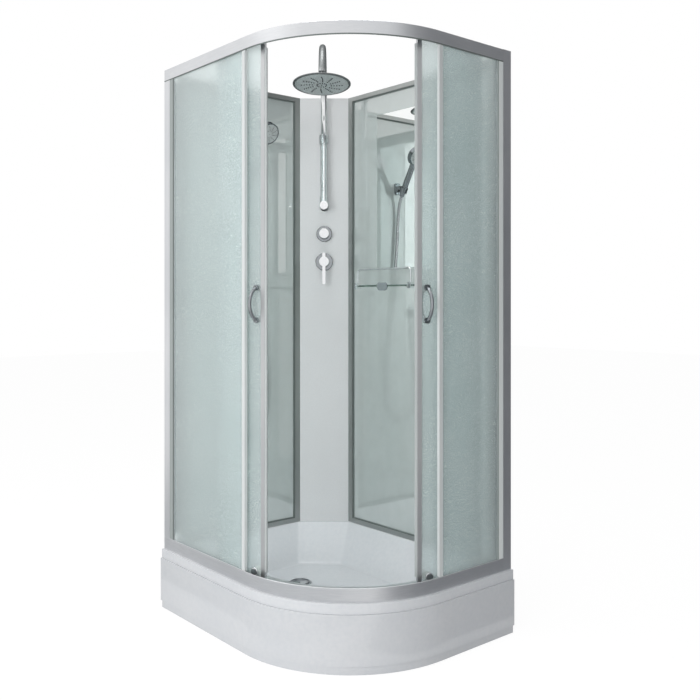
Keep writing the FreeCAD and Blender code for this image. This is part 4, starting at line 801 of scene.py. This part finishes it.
@dataclass
class ShowerHose:
    """The hose from the hand shower, down into a loop and up to the wall outlet."""

    diameter: float = 0.014
    around: int = 16
    steps: int = 24
    round_edge: float = 60.0
    lean: float = HANDLE_LEAN
    plane_x: float = -0.4765
    start: tuple[float, float, float] = HANDLE_FOOT
    loop: tuple[float, float] = (-0.045, 0.690)
    loop_radius: float = 0.101
    loop_turns: tuple[float, ...] = (-20, -60, -100, -140, -180)
    outlet: tuple[float, float] = (-0.105, 1.0525)
    # For each point on the way down: its share of the drop, and of the way out to the loop's side.
    fall: tuple[tuple[float, float], ...] = (
        (0.22, 0.14), (0.40, 0.36), (0.58, 0.62), (0.76, 0.92), (0.90, 1.03))
    # On the way up: the share of the way still to go sideways, the share risen, and the share left.
    rise: tuple[float, float, float] = (0.6, 0.32, 0.28)
    # Below this point the hose stays with the wall.
    bend: tuple[float, float, float] = (-0.47, 0.0, 1.25)

    def route(self) -> list[Vector]:
        """List the corners of the hose's route.

        Returns:
            The control points from the hand shower to the outlet.
        """
        first = Vector(self.start)
        top = first.z - (first.x - self.plane_x) / math.tan(math.radians(self.lean))
        points = [first, Vector((self.plane_x, first.y, top))]
        for share, sway in self.fall:
            y = first.y + sway * (self.loop[0] + self.loop_radius - first.y)
            points.append(Vector((self.plane_x, y, top - share * (top - self.loop[1]))))
        for turn in self.loop_turns:
            bearing = math.radians(turn)
            points.append(Vector((self.plane_x, self.loop[0] + self.loop_radius * math.cos(bearing),
                                  self.loop[1] + self.loop_radius * math.sin(bearing))))
        rest = self.outlet[1] - self.loop[1]
        y = self.outlet[0] - self.rise[0] * (self.outlet[0] - points[-1].y)
        points.append(Vector((self.plane_x, y, self.loop[1] + self.rise[1] * rest)))
        points.append(Vector((self.plane_x, self.outlet[0], self.outlet[1] - self.rise[2] * rest)))
        points.append(Vector((self.plane_x, self.outlet[0], self.outlet[1])))
        return points

    def line(self) -> list[Vector]:
        """Draw the route as a smooth spline.

        Returns:
            Points along the spline.
        """
        curve = bpy.data.curves.new("hose_line", "CURVE")
        curve.dimensions = "3D"
        curve.resolution_u = self.steps
        spline = curve.splines.new("NURBS")
        points = self.route()
        spline.points.add(len(points) - 1)
        for slot, point in zip(spline.points, points):
            slot.co = (*point, 1.0)
        spline.order_u = 3
        spline.use_endpoint_u = True
        holder = bpy.data.objects.new("hose_line", curve)
        bpy.context.collection.objects.link(holder)
        bpy.context.view_layer.update()
        drawn = holder.evaluated_get(bpy.context.evaluated_depsgraph_get())
        mesh = bpy.data.meshes.new_from_object(drawn)
        spots = [vertex.co.copy() for vertex in mesh.vertices]
        bpy.data.objects.remove(holder)
        bpy.data.meshes.remove(mesh)
        return spots

    def build(self, wardrobe: Wardrobe) -> None:
        """Args:
            wardrobe: source of materials.
        """
        spots = self.line()
        radius = self.diameter / 2
        side = (spots[1] - spots[0]).cross(Vector((0, 1, 0))).normalized()
        verts, faces, along = [], [], [0.0]
        for i, spot in enumerate(spots):
            ahead = (spots[min(i + 1, len(spots) - 1)] - spots[max(i - 1, 0)]).normalized()
            side = (side - ahead * side.dot(ahead)).normalized()
            up = ahead.cross(side)
            for k in range(self.around):
                turn = 2 * math.pi * k / self.around
                verts.append(spot + (side * math.cos(turn) + up * math.sin(turn)) * radius)
            if i:
                along.append(along[-1] + (spot - spots[i - 1]).length)
        for i in range(len(spots) - 1):
            for k in range(self.around):
                n = (k + 1) % self.around
                a, b = i * self.around, (i + 1) * self.around
                faces.append((a + k, a + n, b + n, b + k))
        faces.append(tuple(reversed(range(self.around))))
        faces.append(tuple(range((len(spots) - 1) * self.around, len(spots) * self.around)))
        mesh = bpy.data.meshes.new("wound_hose")
        mesh.from_pydata(verts, [], faces)
        layer = mesh.uv_layers.new(name="along")
        for loop in mesh.loops:
            layer.data[loop.index].uv = (0.0, along[loop.vertex_index // self.around])
        mesh.update()
        tube = bpy.data.objects.new("wound_hose", mesh)
        bpy.context.collection.objects.link(tube)
        smooth(tube, self.round_edge)
        wardrobe.wear(tube, HOSE_METAL)
        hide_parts("shower_hose")
        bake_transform(tube)
        LOG.info("built wound_hose, %.3f m", along[-1])


@dataclass
class HandShower(SubAssembly):
    """Hand shower with its holder, hose and wall outlet."""

    finishes: ClassVar[dict[str, Surface]] = dict.fromkeys(
        ("handset_bracket", "handset", "shower_hose", "hose_outlet"), DEEP_CHROME)
    foot: tuple[float, float, float] = HANDLE_FOOT
    lean: float = HANDLE_LEAN
    face: tuple[float, float, float] = (0.012, 0.0, 0.196)
    rings: tuple[float, ...] = (0.014, 0.020, 0.026, 0.032)
    plate_radius: float = 0.037
    plate_thick: float = 0.0006
    plate_sides: int = 64
    eye_radius: float = 0.009
    eye_margin: float = 0.004
    # Inset and rise of the plate's rim and of its eye.
    rim_step: tuple[float, float] = (0.002, 0.0004)
    eye_step: tuple[float, float] = (0.0015, 0.0006)

    def face_place(self) -> Matrix:
        """Find the hand shower's spray face.

        Returns:
            A place at the face's middle with its Z axis pointing away from the wall.
        """
        lean = Matrix.Rotation(math.radians(self.lean), 4, "Y")
        return Matrix.Translation(self.foot) @ lean @ Matrix.Translation(self.face) @ Matrix.Rotation(
            math.pi / 2, 4, "Y")

    def spray_plate(self) -> None:
        """Model the spray plate: a thin disc with a raised eye in a shallow ring."""
        clear_selection()
        bpy.ops.mesh.primitive_cylinder_add(
            vertices=self.plate_sides, radius=self.plate_radius, depth=self.plate_thick)
        plate = bpy.context.object
        plate.name = plate.data.name = "hand_spray_plate"
        choose_faces(plate, (0, 0, 1))
        flat_step = (self.plate_radius - self.eye_radius - self.eye_margin, 0.0)
        for inset, rise in (self.rim_step, flat_step, self.eye_step):
            bpy.ops.mesh.inset(thickness=inset)
            bpy.ops.transform.translate(value=(0, 0, rise))
        bpy.ops.object.mode_set(mode="OBJECT")
        settle(plate, self.face_place())
        smooth(plate)
        self.wardrobe.wear(plate, PLATE_PLASTIC)
        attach(plate, "handset")
        LOG.info("built hand_spray_plate")

    def build(self) -> None:
        """Hang the hose and set the plate and the jets into the hand shower."""
        ShowerHose().build(self.wardrobe)
        self.spray_plate()
        JetField("hand_jets", "handset", self.face_place(), jet_radius=0.0014, jet_height=0.0016,
                 arms=10, rings=self.rings, twist=0.3).build(self.wardrobe)


@dataclass
class Shelf(SubAssembly):
    """Glass shelf with its rod gallery and middle clip."""

    finishes: ClassVar[dict[str, Surface]] = {
        "shelf_plate": CLEAR, "shelf_gallery": CHROME, "shelf_clip": DEEP_CHROME}


@dataclass(frozen=True)
class Lamp:
    """A soft square lamp, its size in metres and its power in watts."""

    name: str
    spot: tuple[float, float, float]
    aim: tuple[float, float, float]
    size: float
    power: float
    mirrored: bool

    def hang(self) -> None:
        """Add the lamp to the scene, pointing at its aim."""
        data = bpy.data.lights.new(self.name, "AREA")
        data.size = self.size
        data.energy = self.power
        lamp = bpy.data.objects.new(self.name, data)
        bpy.context.collection.objects.link(lamp)
        lamp.location = self.spot
        lamp.visible_glossy = self.mirrored
        lamp.rotation_euler = (Vector(self.aim) - Vector(self.spot)).to_track_quat("-Z", "Y").to_euler()


@dataclass(frozen=True)
class Screen:
    """A matt screen for the metal to mirror, unseen by the camera; with no facing it lies flat."""

    name: str
    colour: str
    middle: tuple[float, float, float]
    size: tuple[float, float]
    facing: tuple[float, float, float] | None = None
    shades: bool = False
    roughness: float = 0.9

    def stand(self) -> None:
        """Add the screen to the scene."""
        clear_selection()
        bpy.ops.mesh.primitive_plane_add(size=1)
        screen = bpy.context.object
        screen.name = self.name
        turn = Matrix.Identity(4)
        if self.facing:
            turn = Vector(self.facing).to_track_quat("Z", "Y").to_matrix().to_4x4()
        settle(screen, Matrix.Translation(self.middle) @ turn @ Matrix.Diagonal((*self.size, 1, 1)))
        material, tree, shader = new_material(self.name)
        connect(tree, shader, {"Base Color": linear(self.colour), "Roughness": self.roughness})
        screen.data.materials.append(material)
        screen.visible_camera = False
        screen.visible_transmission = False
        screen.visible_shadow = False
        screen.visible_diffuse = self.shades


# A wide lamp at the left, a fill towards the entrance that metal doesn't show, and one over the cabin.
LAMPS = (
    Lamp("key_lamp", spot=(-1.6, -3.2, 4.7), aim=(-0.2, -0.3, 2.0), size=2.4, power=27.0, mirrored=True),
    Lamp("fill_lamp", spot=(1.4, -2.9, 1.6), aim=(-0.3, 0.2, 0.9), size=1.8, power=43.0, mirrored=False),
    Lamp("top_lamp", spot=(0.1, -0.1, 4.2), aim=(-0.1, 0.1, 0.6), size=1.2, power=26.0, mirrored=True))
# A dark screen upright at the right, and one on the floor at each side.
SCREENS = (
    Screen("upright_screen", "8A8C90", middle=(2.88, 2.16, 1.85), size=(4.6, 4.3),
           facing=(-0.8, -0.6, 0.0), shades=True),
    Screen("right_floor_screen", "A4A6AA", middle=(2.1, 1.5, 0.001), size=(3.0, 3.6)),
    Screen("left_floor_screen", "DADCDE", middle=(-0.4, -1.6, 0.001), size=(4.2, 2.1)))


@dataclass
class Studio:
    """White floor and surround, soft light and the camera."""

    camera_place: tuple[float, float, float] = (2.3428, -1.90143, 1.13197)
    camera_turn: float = 49.62
    lens: float = 43.76
    sensor: float = 36.0
    shift: float = -0.0711
    surround: float = 0.42
    floor_size: float = 30.0
    floor_drop: float = 0.0005
    floor_colour: str = "FAFAFA"
    floor_roughness: float = 0.9
    floor_white: float = 1.05
    floor_glow: float = 0.9

    def seen(self, tree: bpy.types.NodeTree) -> bpy.types.NodeSocket:
        """Tell rays that show the background from rays that carry light.

        Args:
            tree: node tree to add to.

        Returns:
            An output that is 1 for camera, gloss and glass rays.
        """
        path = add_node(tree, "ShaderNodeLightPath").outputs
        either = add_node(tree, "ShaderNodeMath", {
            0: path["Is Camera Ray"], 1: path["Is Glossy Ray"]}, operation="MAXIMUM")
        return add_node(tree, "ShaderNodeMath", {
            0: either.outputs[0], 1: path["Is Transmission Ray"]}, operation="MAXIMUM").outputs[0]

    def white_sky(self) -> None:
        """Make the surround white to the camera, to gloss and through glass, and soft light elsewhere."""
        world = bpy.data.worlds.new("studio_surround")
        bpy.context.scene.world = world
        world.use_nodes = True
        tree = world.node_tree
        level = add_node(tree, "ShaderNodeMapRange", {
            "Value": self.seen(tree), "To Min": self.surround, "To Max": 1.0})
        connect(tree, tree.nodes["Background"], {"Color": WHITE, "Strength": level.outputs[0]})

    def plain_floor(self) -> None:
        """Lay a pale floor that keeps a faint shadow."""
        clear_selection()
        bpy.ops.mesh.primitive_plane_add(size=self.floor_size, location=(0, 0, -self.floor_drop))
        floor = bpy.context.object
        floor.name = "studio_floor"
        material, tree, shader = new_material("studio_floor")
        connect(tree, shader, {
            "Base Color": linear(self.floor_colour), "Roughness": self.floor_roughness,
            "Specular IOR Level": 0.0})
        glow = add_node(tree, "ShaderNodeEmission", {"Color": WHITE, "Strength": self.floor_white})
        share = add_node(tree, "ShaderNodeMath", {
            0: self.seen(tree), 1: self.floor_glow}, operation="MULTIPLY")
        both = add_node(tree, "ShaderNodeMixShader", {
            0: share.outputs[0], 1: shader.outputs[0], 2: glow.outputs[0]})
        connect(tree, tree.nodes["Material Output"], {"Surface": both.outputs[0]})
        floor.data.materials.append(material)

    def camera(self) -> None:
        """Set the camera where the photograph was taken from."""
        data = bpy.data.cameras.new("photo_camera")
        data.lens = self.lens
        data.sensor_width = self.sensor
        data.shift_y = self.shift
        camera = bpy.data.objects.new("photo_camera", data)
        bpy.context.collection.objects.link(camera)
        camera.location = self.camera_place
        camera.rotation_euler = (math.pi / 2, 0, math.radians(self.camera_turn))
        bpy.context.scene.camera = camera

    def build(self) -> None:
        """Set up the surround, the floor, the screens, the lamps and the camera."""
        bpy.context.scene.view_settings.view_transform = "Standard"
        self.white_sky()
        self.plain_floor()
        for screen in SCREENS:
            screen.stand()
        for lamp in LAMPS:
            lamp.hang()
        self.camera()


def main() -> None:
    """Build the cabin and its studio in order."""
    logging.basicConfig(level=logging.INFO)
    wardrobe = Wardrobe()
    for group in (HandShower, TrayGroup, FrontFrame, BackWalls, Doors, ColumnFittings, Shelf):
        part = group(wardrobe)
        part.dress()
        part.build()
    Studio().build()


if __name__ == "__main__":
    main()
